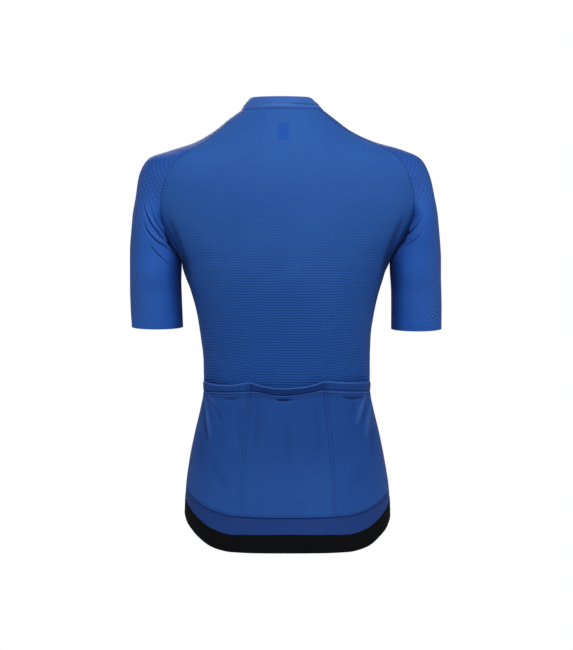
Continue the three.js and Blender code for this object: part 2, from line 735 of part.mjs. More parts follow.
// The slider in its own frame: x across, +y out from the chest and z along the zip.
// A plate in front of the coil and one behind the tapes, joined by the wedge that parts the coil.
function slider() {
  const { long, wide, cover, clear, up, wedge, post } = SLIDER;
  const plate = (y) => {
    const outline = new THREE.Shape();
    const half = wide / 2;
    outline.moveTo(-half, long / 2 - 2);
    outline.quadraticCurveTo(-half, long / 2, -half + 2, long / 2);
    outline.lineTo(half - 2, long / 2);
    outline.quadraticCurveTo(half, long / 2, half, long / 2 - 2);
    outline.lineTo(half - 1.1, -long / 2);
    outline.lineTo(-half + 1.1, -long / 2);
    const sizes = { depth: cover, bevelEnabled: false, curveSegments: 4 };
    const plain = new THREE.ExtrudeGeometry(outline, sizes);
    return solidOf(plain.rotateX(Math.PI / 2).translate(0, y, 0));
  };
  const behind = -(ZIP.tapeDepth + ZIP.tapeCloth + 3 * clear);
  const stem = block(post, up - behind + 0.4, wedge, 0, (up + behind) / 2, long / 2 - wedge / 2 - 0.5);
  // The bridge that carries the pull: a bar along the zip, open under its middle.
  const { long: bridgeLong, wide: bridgeWide, high, bar } = BRIDGE;
  const base = up + cover;
  const legs = [-1, 1].map((k) =>
    block(bridgeWide, high, bar, 0, base + high / 2 - 0.1, (k * (bridgeLong - bar)) / 2),
  );
  const beam = block(bridgeWide, bar, bridgeLong, 0, base + high - bar / 2 - 0.1, 0);
  return [plate(behind), stem, ...legs, beam].reduce((a, b) => a.add(b), plate(up + cover));
}

// The pull tab hangs from the bridge: a flat tab with an eye whose top bar passes under the beam.
function pullTab() {
  const { long, wide, thick, ring, eyeHalf, eye } = PULL;
  const bar = solidOf(new THREE.CylinderGeometry(ring, ring, 2 * eyeHalf + 0.6, 10).rotateZ(Math.PI / 2));
  const armTop = ring + 0.25;
  const arms = [-1, 1].map((k) =>
    block(1, thick, armTop + eye + 0.5, k * (eyeHalf + 0.5), 0, (armTop - eye - 0.5) / 2),
  );
  const tab = new THREE.Shape();
  const half = wide / 2;
  tab.moveTo(-half, -eye - 2);
  tab.lineTo(-eyeHalf - 0.9, -eye);
  tab.lineTo(eyeHalf + 0.9, -eye);
  tab.lineTo(half, -eye - 2);
  for (const a of spread(8, 0, 180)) {
    tab.lineTo(half * Math.cos(a * DEG), -long + half - half * Math.sin(a * DEG));
  }
  const blade = solidOf(
    new THREE.ExtrudeGeometry(tab, { depth: thick, bevelEnabled: false })
      .translate(0, 0, -thick / 2)
      .rotateX(Math.PI / 2),
  );
  return [...arms, blade].reduce((a, b) => a.add(b), bar);
}

// Assembly

const jersey = new THREE.Group();
const knit = new THREE.MeshStandardMaterial({ color: 0x2a5cae, roughness: 0.8, metalness: 0 });
const sleeveKnit = new THREE.MeshStandardMaterial({ color: 0x2b58a8, roughness: 0.75, metalness: 0 });
const pocketKnit = new THREE.MeshStandardMaterial({ color: 0x25498c, roughness: 0.85, metalness: 0 });
const elastic = new THREE.MeshStandardMaterial({ color: 0x0e1013, roughness: 0.9, metalness: 0 });
const zipNylon = new THREE.MeshStandardMaterial({ color: 0x1c3f86, roughness: 0.6, metalness: 0 });
const zipMetal = new THREE.MeshStandardMaterial({ color: 0x23262b, roughness: 0.4, metalness: 0.8 });
const labelFilm = new THREE.MeshStandardMaterial({ color: 0x1f4aa8, roughness: 0.6, metalness: 0 });

function add(name, geometry, material, parent = jersey) {
  const mesh = new THREE.Mesh(geometry, material);
  mesh.name = name;
  parent.add(mesh);
  return mesh;
}

add("back_panel", backPanel(), knit);
add("front_left", frontPanel(1), knit);
add("front_right", frontPanel(-1), knit);
add("sleeve_left", sleeve(1), sleeveKnit);
add("sleeve_right", sleeve(-1), sleeveKnit);
add("collar", collar(), sleeveKnit);
add("pocket_panel", pocketPanel(), pocketKnit);
add("hem_grip", hemGrip(), elastic);
add("neck_label", neckLabel(), labelFilm);

// The slider sits near the top of the collar and leans with it. Above its wedge the coil is parted.
const sliderSeat = new THREE.Group();
const seatAt = zipStations()[1](0);
const seatLow = zipStations()[3](0);
const along = seatAt.p.clone().sub(seatLow.p).normalize();
const outward = seatAt.n;
const across = new THREE.Vector3().crossVectors(outward, along).normalize();
sliderSeat.matrixAutoUpdate = false;
sliderSeat.matrix.makeBasis(across, outward, along).setPosition(seatAt.p);
jersey.add(sliderSeat);
add("zip_slider", geometryFrom(slider()), zipMetal, sliderSeat);
const wedgeFoot = SLIDER.long / 2 - SLIDER.wedge - 0.5 - SLIDER.clear;
const parting = [
  block(2 * ZIP.coil + 0.6, ZIP.tapeDepth + 1, 30, 0, 0.5 - ZIP.tapeDepth / 2, wedgeFoot + 15),
  block(SLIDER.post + 2 * SLIDER.clear, 8, 30, 0, 0, wedgeFoot + 15),
].map((b) => b.transform(sliderSeat.matrix.toArray()));
const chain = parting.reduce((a, b) => a.subtract(b), solidOf(zipChain()));
add("zip_chain", geometryFrom(chain), zipNylon);

// The pull hangs straight down from the middle of the bridge's opening.
const pinLocal = vec(0, SLIDER.up + SLIDER.cover + BRIDGE.hole - 0.15, 0);
const pin = pinLocal.clone().applyMatrix4(sliderSeat.matrix);
const pullSeat = new THREE.Group();
pullSeat.position.copy(pin);
jersey.add(pullSeat);
add("zip_pull", geometryFrom(pullTab()), zipMetal, pullSeat);

export default jersey;
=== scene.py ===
"""A short-sleeved cycling jersey in stretch knit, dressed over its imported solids.

Sizes are in millimetres until a mesh is made, which turns them into metres. The chest faces -Y, the
back +Y and the wearer's left is +X, with the origin in the middle of the neck.
"""

import math

import bpy
import numpy as np
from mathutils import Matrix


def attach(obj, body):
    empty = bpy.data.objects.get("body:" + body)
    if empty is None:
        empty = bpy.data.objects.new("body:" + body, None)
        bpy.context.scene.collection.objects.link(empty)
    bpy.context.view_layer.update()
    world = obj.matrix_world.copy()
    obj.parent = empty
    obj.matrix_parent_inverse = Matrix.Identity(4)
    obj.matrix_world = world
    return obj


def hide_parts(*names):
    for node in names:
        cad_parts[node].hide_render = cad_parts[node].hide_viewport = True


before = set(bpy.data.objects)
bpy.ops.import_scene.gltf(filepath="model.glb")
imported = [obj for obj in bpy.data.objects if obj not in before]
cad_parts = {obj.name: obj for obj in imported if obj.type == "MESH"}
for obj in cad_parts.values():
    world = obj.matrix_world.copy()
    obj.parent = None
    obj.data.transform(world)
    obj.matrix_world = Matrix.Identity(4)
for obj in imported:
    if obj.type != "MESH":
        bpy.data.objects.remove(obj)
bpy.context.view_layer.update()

# The view
# The jersey is seen from straight behind, level with its waist and from far off, so that it looks
# nearly flat. The picture is 942 mm tall where the jersey hangs.
VIEW_FROM = (0.0, 6.0, -0.309)
VIEW_TALL = 0.9425


def placed(name, data):
    """A new object in the scene."""
    made = bpy.data.objects.new(name, data)
    bpy.context.scene.collection.objects.link(made)
    return made


camera = placed("camera", bpy.data.cameras.new("camera"))
camera.data.sensor_width = 36
camera.data.lens = camera.data.sensor_width * VIEW_FROM[1] / VIEW_TALL
camera.data.clip_end = 60
camera.location = VIEW_FROM
camera.rotation_euler = (math.pi / 2, 0, math.pi)
bpy.context.scene.camera = camera

# The back
# One panel of fine ribbed mesh knit, cut from the neck to the hem's grip, with a raglan armhole
# edge at each side. It is sewn flat to the sleeves, the fronts and the collar, and is drawn as
# rings: in the yoke each runs on over the sleeve, and below the underarm it is the body's alone.
CLOTH = 1.2
BODY_AXIS = (0, 0)
SEAM_HALF_GAP = 0.02
UNDERARM_GAP = 0.1
NECK_SEAM = 1.5
NECK_CENTRE_X = 6.5
UNDERARM = -219.0
WAIST = -400.0
SIDE_Y = 1.0
EDGE_SHIFT = 2.0


class Table:
    """Named columns, each read smoothly and without overshoot against the first."""

    def __init__(self, names, rows):
        columns = np.array(rows, float).T
        order = np.argsort(columns[0])
        self.x = columns[0][order]
        self.columns = {name: column[order] for name, column in zip(names, columns)}

    def at(self, name, x):
        xs, ys = self.x, self.columns[name]
        step = np.diff(xs)
        slope = np.diff(ys) / step
        tangent = np.zeros_like(ys)
        tangent[0], tangent[-1] = slope[0], slope[-1]
        for k in range(1, len(ys) - 1):
            before, after = slope[k - 1], slope[k]
            if before * after > 0:
                a, b = step[k - 1], step[k]
                tangent[k] = 3 * (a + b) / ((2 * b + a) / before + (2 * a + b) / after)
        x = np.clip(x, xs[0], xs[-1])
        i = np.clip(np.searchsorted(xs, x) - 1, 0, len(xs) - 2)
        h = step[i]
        t = (x - xs[i]) / h
        u = 1 - t
        return (u * u * (1 + 2 * t) * ys[i] + t * u * u * h * tangent[i] + t * t * (3 - 2 * t)
            * ys[i + 1] - t * t * u * h * tangent[i + 1])


# A row for each ring of the yoke. z is its height in the middle of the back, back and front are how
# far its middles stand from the neck's axis, frontZ is its height at the zip, leftX to rightZ are
# the outside of the arms, seamL to frontR the raglan seams, bodyL and bodyR where the body alone
# would end, full how square it is, and split is 1 where the sleeve is as round as an arm.
RINGS = Table(("z back front frontZ leftX rightX leftZ rightZ"
    " seamL seamR frontL frontR bodyL bodyR full split").split(), [
    (1.5, 60, -50, -52, 65, 52, 2, 3, 56, 47, 49, 37, 65, 52, 0.552, 0),
    (-14, 71, -62, -70, 83, 70, -11, -11, 75, 63, 64, 52, 83, 70, 0.552, 0),
    (-32, 80, -73, -86, 104, 93, -28, -28, 97, 86, 80, 70, 104, 93, 0.552, 0),
    (-50, 87.5, -83, -101, 133.5, 127.5, -45, -44, 118, 119, 96, 89, 133.5, 127.5, 0.552, 0),
    (-68, 93.5, -91, -115, 167, 166, -56, -55, 140, 146, 113, 108, 167, 166, 0.552, 0),
    (-88, 98.5, -98, -129, 199.5, 194, -68, -68, 160, 165, 130, 127, 199.5, 194, 0.552, 0),
    (-110, 102.5, -104.5, -143, 214, 208, -94, -94, 173, 177, 146, 144, 214, 208, 0.556, 0),
    (-132, 104.5, -110, -157, 218.5, 214.5, -123, -123, 180, 183, 158, 156, 209, 205, 0.57, 0.4),
    (-154, 105, -114.5, -170, 223, 219, -150, -148, 181, 183, 166, 164, 197, 195, 0.59, 0.8),
    (-174, 104.5, -117.5, -182, 225, 221, -173, -169, 176, 176.5, 168, 166, 183, 182, 0.615, 0.95),
    (-190, 103.8, -120, -194, 226.5, 222.5, -190, -186, 169, 168.5, 165, 163, 172, 171, 0.635, 1),
    (-204, 102.8, -122, -206, 227, 223.5, -205, -201, 160, 158, 159, 157, 161.3, 159.3, 0.65, 1),
    (-213, 101.8, -122.8, -213.6, 227, 224, -214, -211,
        154.2, 152, 154, 151.8, 154.5, 152.3, 0.66, 1),
    (-219, 101, -123.3, -219, 227, 224, -220, -218,
        151.6, 149.2, 151.6, 149.2, 151.6, 149.2, 0.665, 1),
])
BODY = Table("z back front left right full".split(), [
    (-219, 101, -123.3, 151.6, 149.2, 0.665),
    (-226, 100.2, -124, 150.4, 146, 0.665),
    (-234, 99.2, -124.3, 147.6, 142.4, 0.66),
    (-243, 98, -124, 144, 139.4, 0.655),
    (-262, 95.2, -121.5, 137.6, 133.4, 0.645),
    (-290, 90.8, -114.5, 130, 127, 0.63),
    (-325, 84.8, -104.5, 124.2, 121.8, 0.615),
    (-362, 79.8, -96, 120, 120.6, 0.6),
    (-400, 77.6, -92, 119.6, 120.6, 0.59),
    (-430, 80.6, -92.5, 124.4, 125.6, 0.59),
    (-465, 88, -95.5, 132.6, 134, 0.595),
    (-505, 98, -99.5, 140.6, 142, 0.6),
    (-545, 106.8, -102, 145.6, 148, 0.6),
    (-580, 112.4, -103, 147.2, 150, 0.6),
    (-615, 115.8, -103, 147.4, 150, 0.6),
    (-645, 117.4, -102.6, 147, 149.4, 0.6),
])
# The lower edges, by the angle round the body from their lowest point.
EDGES = Table("turn pocket grip hem".split(), [
    (0, -583.5, -608.3, -634),
    (15, -583, -609.2, -634),
    (32, -580.5, -609.2, -633),
    (46, -573.5, -602, -627),
    (60, -562, -587.5, -613),
    (76, -549, -569.5, -595),
    (90, -541, -557, -581),
    (120, -529, -541, -565),
    (150, -523, -535, -559),
    (180, -521, -533, -557),
])


def mix(a, b, t):
    return a + (b - a) * t


def ease(t):
    t = np.clip(t, 0, 1)
    return t * t * (3 - 2 * t)


def arc(a, b, c, d, t):
    u = 1 - t
    return u**3 * a + 3 * u * u * t * b + 3 * u * t * t * c + t**3 * d


def passing(short, low, high, rounds):
    """Halves the stretch from low to high again and again, to where short stops being true."""
    for _ in range(rounds):
        t = (low + high) / 2
        yet = short(t)
        low, high = np.where(yet, t, low), np.where(yet, high, t)
    return high


def quarter_curve(mid_x, side_x, deep, full, t):
    x = arc(mid_x, mix(mid_x, side_x, full), side_x, side_x, t)
    return x, arc(deep, deep, full * deep, 0 * deep, t)


def edge_at(name, turn):
    return EDGES.at(name, np.minimum(np.abs(turn + EDGE_SHIFT), 180))


def yoke_ring(side, face, z):
    """A ring's middle, raglan seam and outside, on one side of the back (face 1) or front (-1)."""
    letter = "L" if side > 0 else "R"
    hand = "left" if side > 0 else "right"
    ring = {"mid_x": side * NECK_CENTRE_X * ease(1 + (z - NECK_SEAM) / 150),
        "out_x": RINGS.at(hand + "X", z), "out_z": RINGS.at(hand + "Z", z),
        "side_y": mix(8, SIDE_Y, ease((NECK_SEAM - z) / (NECK_SEAM - UNDERARM))),
        "mid_z": z if face > 0 else RINGS.at("frontZ", z),
        "seam_x": RINGS.at(("seam" if face > 0 else "front") + letter, z),
        "body_x": RINGS.at("body" + letter, z), "full": RINGS.at("full", z),
        "split": RINGS.at("split", z)}
    ring["wide"] = ring["out_x"] - ring["mid_x"]
    ring["deep"] = np.abs(RINGS.at("back" if face > 0 else "front", z) - ring["side_y"])
    ring["seam_t"] = passing(lambda t: on_ring(ring, t)[0] < ring["seam_x"], 0 * z, 1 + 0 * z, 30)
    ring["seam_off"] = on_ring(ring, ring["seam_t"])[1]
    return ring


def on_ring(ring, t):
    return quarter_curve(ring["mid_x"], ring["body_x"], ring["deep"], ring["full"], t)


def ring_height(ring, x):
    return mix(ring["mid_z"], ring["out_z"], np.clip((x - ring["mid_x"]) / ring["wide"], 0, 1) ** 2)


def paired(a, b):
    """Two numbers or arrays, brought to one shape."""
    return np.broadcast_arrays(np.asarray(a, float), np.asarray(b, float))


def body_point(side, face, z, s):
    """The body, from the middle of the back or front, s = 0, to its seam, s = 1."""
    z, s = paired(z, s)
    half = BODY.at("left" if side > 0 else "right", z)
    deep = np.abs(BODY.at("back" if face > 0 else "front", z) - SIDE_Y)
    x, off = quarter_curve(0, half, deep, BODY.at("full", z), s)
    below = np.stack([side * x, SIDE_Y + face * off, z], -1)
    ring = yoke_ring(side, face, z)
    x, off = on_ring(ring, s * ring["seam_t"])
    above = np.stack([side * x, ring["side_y"] + face * off, ring_height(ring, x)], -1)
    return np.where((z < UNDERARM)[..., None], below, above)


def short_of(point):
    """How far along a row its seam allowance begins."""
    gap = np.linalg.norm(point(1.0) - point(0.98), axis=-1)
    return 1 - 0.02 * SEAM_HALF_GAP / np.maximum(gap, 1e-6)


def run_along(points, axis=0):
    """How far along its line each point lies."""
    steps = np.diff(points, axis=axis, prepend=np.take(points, [0], axis=axis))
    return np.cumsum(np.linalg.norm(steps, axis=-1), axis=axis)


def cloth_measure(points):
    """The cloth's own measure in millimetres at each point of a grid: across it, and its height,
    because the ribs of the knit lie level all over the body."""
    across = run_along(points, 1)
    across -= across[:, [across.shape[1] // 2]]
    return np.stack([across, points[..., 2]], -1)


def grid_normals(points, axis):
    """Unit normals of a grid that point away from an upright axis at x, y."""
    down = np.gradient(points, axis=0)
    along = np.gradient(points, axis=1)
    normals = np.cross(down, along)
    normals /= np.maximum(np.linalg.norm(normals, axis=-1, keepdims=True), 1e-9)
    away = (points[..., :2] - np.array(axis)) * normals[..., :2]
    return normals if away.sum() > 0 else -normals


def bell(off, width):
    return np.exp(-((off / width) ** 2))


def creased(points, axis, folds, towards=1):
    """Presses soft troughs into a grid, or raises ridges where a fold's depth is below 0. A fold is
    how wide it is, how deep, how much cloth is pushed up beside it, and the points x, z that it
    runs through, as seen from behind."""
    lip_at, lip_wide, far_lip, end_width = 1.9, 1.1, 0.6, 0.55
    normals = grid_normals(points, axis)
    flat = points[..., [0, 2]]
    depth = np.zeros(points.shape[:2])
    fine = np.linspace(0, 1, 25)
    for wide, deep, lip, stops in folds:
        share = np.linspace(0, 1, len(stops))
        line = Table("txz", [(t, *stop) for t, stop in zip(share, stops)])
        bend = np.stack([line.at("x", fine), line.at("z", fine)], -1)
        reach = 4 * wide
        near = (flat > bend.min(axis=0) - reach) & (flat < bend.max(axis=0) + reach)
        inside = near.all(axis=-1) & (normals[..., 1] * towards > -0.2)
        spots = flat[inside]
        nearest = np.full(len(spots), 1e9)
        where, signed = np.zeros((2, len(spots)))
        for k in range(len(fine) - 1):
            run = bend[k + 1] - bend[k]
            long = np.linalg.norm(run)
            t = np.clip(((spots - bend[k]) @ run) / (long * long), 0, 1)
            off = spots - bend[k] - t[:, None] * run
            far = np.linalg.norm(off, axis=1)
            closer = far < nearest
            nearest = np.where(closer, far, nearest)
            where = np.where(closer, (k + t) / (len(fine) - 1), where)
            turned = (run[0] * off[:, 1] - run[1] * off[:, 0]) / long
            signed = np.where(closer, turned, signed)
        swell = np.clip(np.sin(np.clip(where, 0, 1) * math.pi), 0, 1) ** 0.6
        width = wide * mix(end_width, 1.0, swell)
        lips = bell(signed - lip_at * width, lip_wide * width)
        lips += far_lip * bell(signed + lip_at * width, lip_wide * width)
        depth[inside] += deep * swell * (bell(nearest, width) - lip * lips)
    return points - normals * depth[..., None]


def cloth_piece(name, points, measure, thick, axis, material, closed=None, pressed=None):
    """A closed thin wall on a grid of points on the cloth's outside. closed marks the rows whose
    last point is their first, as on a sleeve below the underarm. The shader reads pressed for its
    painted crease shade and highlight."""
    rows, columns = points.shape[:2]
    numbers = np.arange(rows * columns).reshape(rows, columns)
    if closed is not None:
        numbers[closed, -1] = numbers[closed, 0]
    flat = points.reshape(-1, 3)
    plain = np.arange(rows * columns).reshape(rows, columns)
    quads, corners = (np.stack([n[:-1, :-1], n[1:, :-1], n[1:, 1:], n[:-1, 1:]], -1).reshape(-1, 4)
        for n in (numbers, plain))
    turned = np.cross(flat[quads[:, 2]] - flat[quads[:, 0]], flat[quads[:, 3]] - flat[quads[:, 1]])
    middle = flat[quads].mean(axis=1)[:, :2] - np.array(axis)
    if (turned[:, :2] * middle).sum() < 0:
        quads, corners, turned = quads[:, ::-1], corners[:, ::-1], -turned
    normals = np.zeros_like(flat)
    for k in range(4):
        np.add.at(normals, quads[:, k], turned)
    normals /= np.maximum(np.linalg.norm(normals, axis=1, keepdims=True), 1e-9)
    count = len(flat)
    sides = np.concatenate([quads[:, [k, (k + 1) % 4]] for k in range(4)])
    ends = np.concatenate([corners[:, [k, (k + 1) % 4]] for k in range(4)])
    code = sides[:, 0].astype(np.int64) * count + sides[:, 1]
    back = sides[:, 1].astype(np.int64) * count + sides[:, 0]
    rim = ~np.isin(code, back)
    a, b = sides[rim].T
    p, q = ends[rim].T
    faces = np.concatenate([quads, quads[:, ::-1] + count,
        np.stack([b, a, a + count, b + count], -1)])
    uses = np.concatenate([corners, corners[:, ::-1], np.stack([q, p, p, q], -1)])
    spots = np.concatenate([flat, flat - normals * thick]) * 0.001
    used = np.unique(faces)
    slim = np.full(2 * count, -1)
    slim[used] = np.arange(len(used))
    mesh = bpy.data.meshes.new(name)
    mesh.from_pydata(spots[used].tolist(), [], slim[faces].tolist())
    mesh.update()
    mesh.polygons.foreach_set("use_smooth", np.ones(len(faces), bool))
    layer = mesh.uv_layers.new(name="cloth")
    layer.data.foreach_set("uv", measure.reshape(-1, 2)[uses].reshape(-1).astype(np.float32))
    edge_ends = np.zeros(len(mesh.edges) * 2, np.int64)
    mesh.edges.foreach_get("vertices", edge_ends)
    edge_ends = np.sort(edge_ends.reshape(-1, 2), axis=1)
    rims = [np.sort(slim[sides[rim]], axis=1), np.sort(slim[sides[rim] + count], axis=1)]
    key = edge_ends[:, 0] * 4 * count + edge_ends[:, 1]
    keys = np.concatenate([r[:, 0] * 4 * count + r[:, 1] for r in rims])
    sharp = mesh.attributes.new("sharp_edge", "BOOLEAN", "EDGE")
    sharp.data.foreach_set("value", np.isin(key, keys))
    if pressed is not None:
        marks = mesh.attributes.new("pressed", "FLOAT", "POINT")
        marks.data.foreach_set("value", np.tile(pressed.reshape(-1), 2)[used].astype(np.float32))
    mesh.materials.append(material)
    return placed(name, mesh)


def pressed_in(plain, pressed, axis):
    """How many millimetres each point of a grid has been pressed in."""
    return ((plain - pressed) * grid_normals(plain, axis)).sum(axis=-1)


def srgb(red, green, blue):
    """A colour of the photograph's screen values, as the shader's linear ones."""
    shares = [c / 255 for c in (red, green, blue)]
    return [c / 12.92 if c <= 0.04045 else ((c + 0.055) / 1.055) ** 2.4 for c in shares] + [1]


def add_node(tree, kind, inputs=(), **settings):
    """Adds a node with its settings, and gives its inputs their values or links."""
    made = tree.nodes.new(kind)
    for key, value in settings.items():
        setattr(made, key, value)
    for key, value in dict(inputs).items():
        if isinstance(value, bpy.types.NodeSocket):
            tree.links.new(value, made.inputs[key])
        else:
            made.inputs[key].default_value = value
    return made


def calc(tree, operation, *values):
    """A Math node's output."""
    return add_node(tree, "ShaderNodeMath", dict(enumerate(values)), operation=operation).outputs[0]


def times(tree, one, two):
    return calc(tree, "MULTIPLY", one, two)


def split_xyz(tree, vector):
    return add_node(tree, "ShaderNodeSeparateXYZ", {0: vector}).outputs


def noise(tree, vector, scale, detail):
    inputs = {"Vector": vector, "Scale": scale, "Detail": detail}
    return add_node(tree, "ShaderNodeTexNoise", inputs).outputs["Fac"]


def blend(tree, share, one, two):
    """Colour one turning into colour two."""
    made = add_node(tree, "ShaderNodeMix", {"Factor": share, 6: one, 7: two}, data_type="RGBA",
        clamp_factor=True)
    return made.outputs[2]


def smooth_range(tree, value, low, high, to_low=0.0, to_high=1.0):
    made = add_node(tree, "ShaderNodeMapRange",
        {"Value": value, "From Min": low, "From Max": high, "To Min": to_low, "To Max": to_high},
        interpolation_type="SMOOTHSTEP")
    return made.outputs[0]


def node_group(name, kind, inputs, outputs):
    """An empty node group, its own inputs and outputs. In inputs a number is a Float's value."""
    group = bpy.data.node_groups.new(name, kind)
    for label, value in inputs.items():
        word = value if isinstance(value, str) else "Float"
        made = group.interface.new_socket(label, in_out="INPUT", socket_type="NodeSocket" + word)
        if word == "Float":
            made.default_value = value
    for label, word in outputs.items():
        group.interface.new_socket(label, in_out="OUTPUT", socket_type="NodeSocket" + word)
    enter = group.nodes.new("NodeGroupInput").outputs
    leave = group.nodes.new("NodeGroupOutput").inputs
    return group, enter, leave


# The knit's ribs and wales: rows of loops that waver a little, as in a pulled mesh knit.
tree, enter, leave = node_group("ribbed knit", "ShaderNodeTree",
    {"Cloth": "Vector", "Rib pitch": 3.8, "Wale pitch": 3.6, "Wale share": 0.3, "Waver": 0.4},
    {"Height": "Float", "Loops": "Float"})
ribbed_knit = tree
parts = split_xyz(tree, enter["Cloth"])
drift = noise(tree, enter["Cloth"], 0.03, 1.0)
drift = times(tree, calc(tree, "SUBTRACT", drift, 0.5), enter["Waver"])
rib_at = calc(tree, "MULTIPLY_ADD", drift, 7.0, parts[1])
rib_turn = calc(tree, "DIVIDE", rib_at, enter["Rib pitch"])
rib_wave = calc(tree, "SINE", times(tree, rib_turn, 2 * math.pi))
wale_at = calc(tree, "MULTIPLY_ADD", drift, 4.0, parts[0])
wale_turn = calc(tree, "DIVIDE", wale_at, enter["Wale pitch"])
wale_wave = calc(tree, "SINE", times(tree, wale_turn, 2 * math.pi))
ribs = calc(tree, "POWER", calc(tree, "MULTIPLY_ADD", rib_wave, 0.5, 0.5), 1.7)
wales = calc(tree, "MULTIPLY_ADD", wale_wave, 0.5, 0.5)
share = enter["Wale share"]
both = calc(tree, "ADD", times(tree, ribs, calc(tree, "SUBTRACT", 1.0, share)),
    times(tree, wales, share))
uneven = noise(tree, enter["Cloth"], 0.9, 2.0)
tree.links.new(calc(tree, "MULTIPLY_ADD", uneven, 0.3, both), leave["Height"])
tree.links.new(both, leave["Loops"])

# Dyed cloth's slight unevenness, in soft patches and in fine flecks of yarn.
tree, enter, leave = node_group("dyed tone", "ShaderNodeTree", {"Place": "Vector", "Flecks": 0.4},
    {"Tone": "Float"})
dyed_tone = tree
patches = noise(tree, enter["Place"], 9.0, 3.0)
flecks = noise(tree, enter["Place"], 700.0, 2.0)
tone = add_node(tree, "ShaderNodeMix", {"Factor": enter["Flecks"], 2: patches, 3: flecks},
    data_type="FLOAT").outputs[0]
tree.links.new(smooth_range(tree, tone, 0.3, 0.7), leave["Tone"])

# Painted shade in a crease's trough and a painted highlight on a ridge, by how far the cloth is
# pressed in.
tree, enter, leave = node_group("crease shade and highlight", "ShaderNodeTree", {},
    {"Trough": "Float", "Ridge": "Float"})
crease_light = tree
deep = add_node(tree, "ShaderNodeAttribute", attribute_name="pressed").outputs["Fac"]
tree.links.new(smooth_range(tree, deep, 0.15, 2.2), leave["Trough"])
tree.links.new(smooth_range(tree, deep, -0.15, -1.3), leave["Ridge"])


def crease_lit(tree, colour, trough, ridge):
    """A cloth's colour with painted shade in its creases and a painted highlight on their ridges.
    Each share is how much of the shade or the highlight shows.
    """
    marks = use_group(tree, crease_light)
    colour = blend(tree, times(tree, marks["Trough"], trough), colour, srgb(0, 28, 84))
    return blend(tree, times(tree, marks["Ridge"], ridge), colour, srgb(84, 128, 208))


def cloth_material(name, sheen, roughness, gloss=0.25):
    """A material with its Principled shader, its cloth measure and its place."""
    made = bpy.data.materials.new(name)
    made.use_nodes = True
    tree = made.node_tree
    tree.nodes.clear()
    shader = add_node(tree, "ShaderNodeBsdfPrincipled",
        {"Roughness": roughness, "Specular IOR Level": gloss, "Sheen Weight": sheen,
        "Sheen Roughness": 0.45, "Sheen Tint": srgb(176, 184, 226)})
    out = add_node(tree, "ShaderNodeOutputMaterial")
    tree.links.new(shader.outputs[0], out.inputs[0])
    cloth = add_node(tree, "ShaderNodeUVMap", uv_map="cloth").outputs[0]
    place = add_node(tree, "ShaderNodeTexCoord").outputs["Object"]
    return made, tree, shader, cloth, place


def dyed_material(name, sheen, roughness, gloss, colour, deep, flecks, relief):
    """A material of one colour, which the dye and the relief make a little uneven."""
    made, tree, shader, _cloth, place = cloth_material(name, sheen, roughness, gloss)
    tone = use_group(tree, dyed_tone, Place=place, Flecks=flecks)["Tone"]
    dressed(tree, shader, blend(tree, tone, colour, deep), tone, relief)
    return made


def use_group(tree, group, **inputs):
    made = add_node(tree, "ShaderNodeGroup", node_tree=group)
    for key, value in inputs.items():
        socket = made.inputs[key.replace("_", " ")]
        if isinstance(value, bpy.types.NodeSocket):
            tree.links.new(value, socket)
        else:
            socket.default_value = value
    return made.outputs


def knit_and_tone(tree, cloth, place, rib, wale, share, waver, flecks):
    """A plain knit's loops, rib and wale millimetres apart, and the unevenness of its dye."""
    knit = use_group(tree, ribbed_knit, Cloth=cloth, Rib_pitch=rib, Wale_pitch=wale,
        Wale_share=share, Waver=waver)
    return knit, use_group(tree, dyed_tone, Place=place, Flecks=flecks)["Tone"]


def dressed(tree, shader, colour, height, relief):
    """Gives a shader its colour and its relief, which is how many metres the height stands for."""
    tree.links.new(colour, shader.inputs["Base Color"])
    bump = add_node(tree, "ShaderNodeBump", {"Height": height, "Distance": relief, "Strength": 1.0})
    tree.links.new(bump.outputs[0], shader.inputs["Normal"])


BACK_BLUE = srgb(46, 97, 176)
BACK_BLUE_DEEP = srgb(4, 58, 134)
LABEL = {"x": 4.5, "z": -31.5, "wide": 16, "tall": 25}
LABEL_SHOWS = srgb(16, 80, 178)
UNDER_POCKET_SHADE = srgb(30, 56, 122)
# Heights in metres between which the ribs come in, the cloth deepens, and the painted shade of the
# strip below the pockets begins, where the back curves in under them: on the bowed line of their
# foot, and at the sides.
RIBS_AT = (-0.09, -0.27)
DEEPER_AT = (-0.2, -0.37)
SHADE_STRIP_AT = (-0.5795, -0.5835)
SHADE_STRIP_SIDE_AT = (-0.537, -0.542)


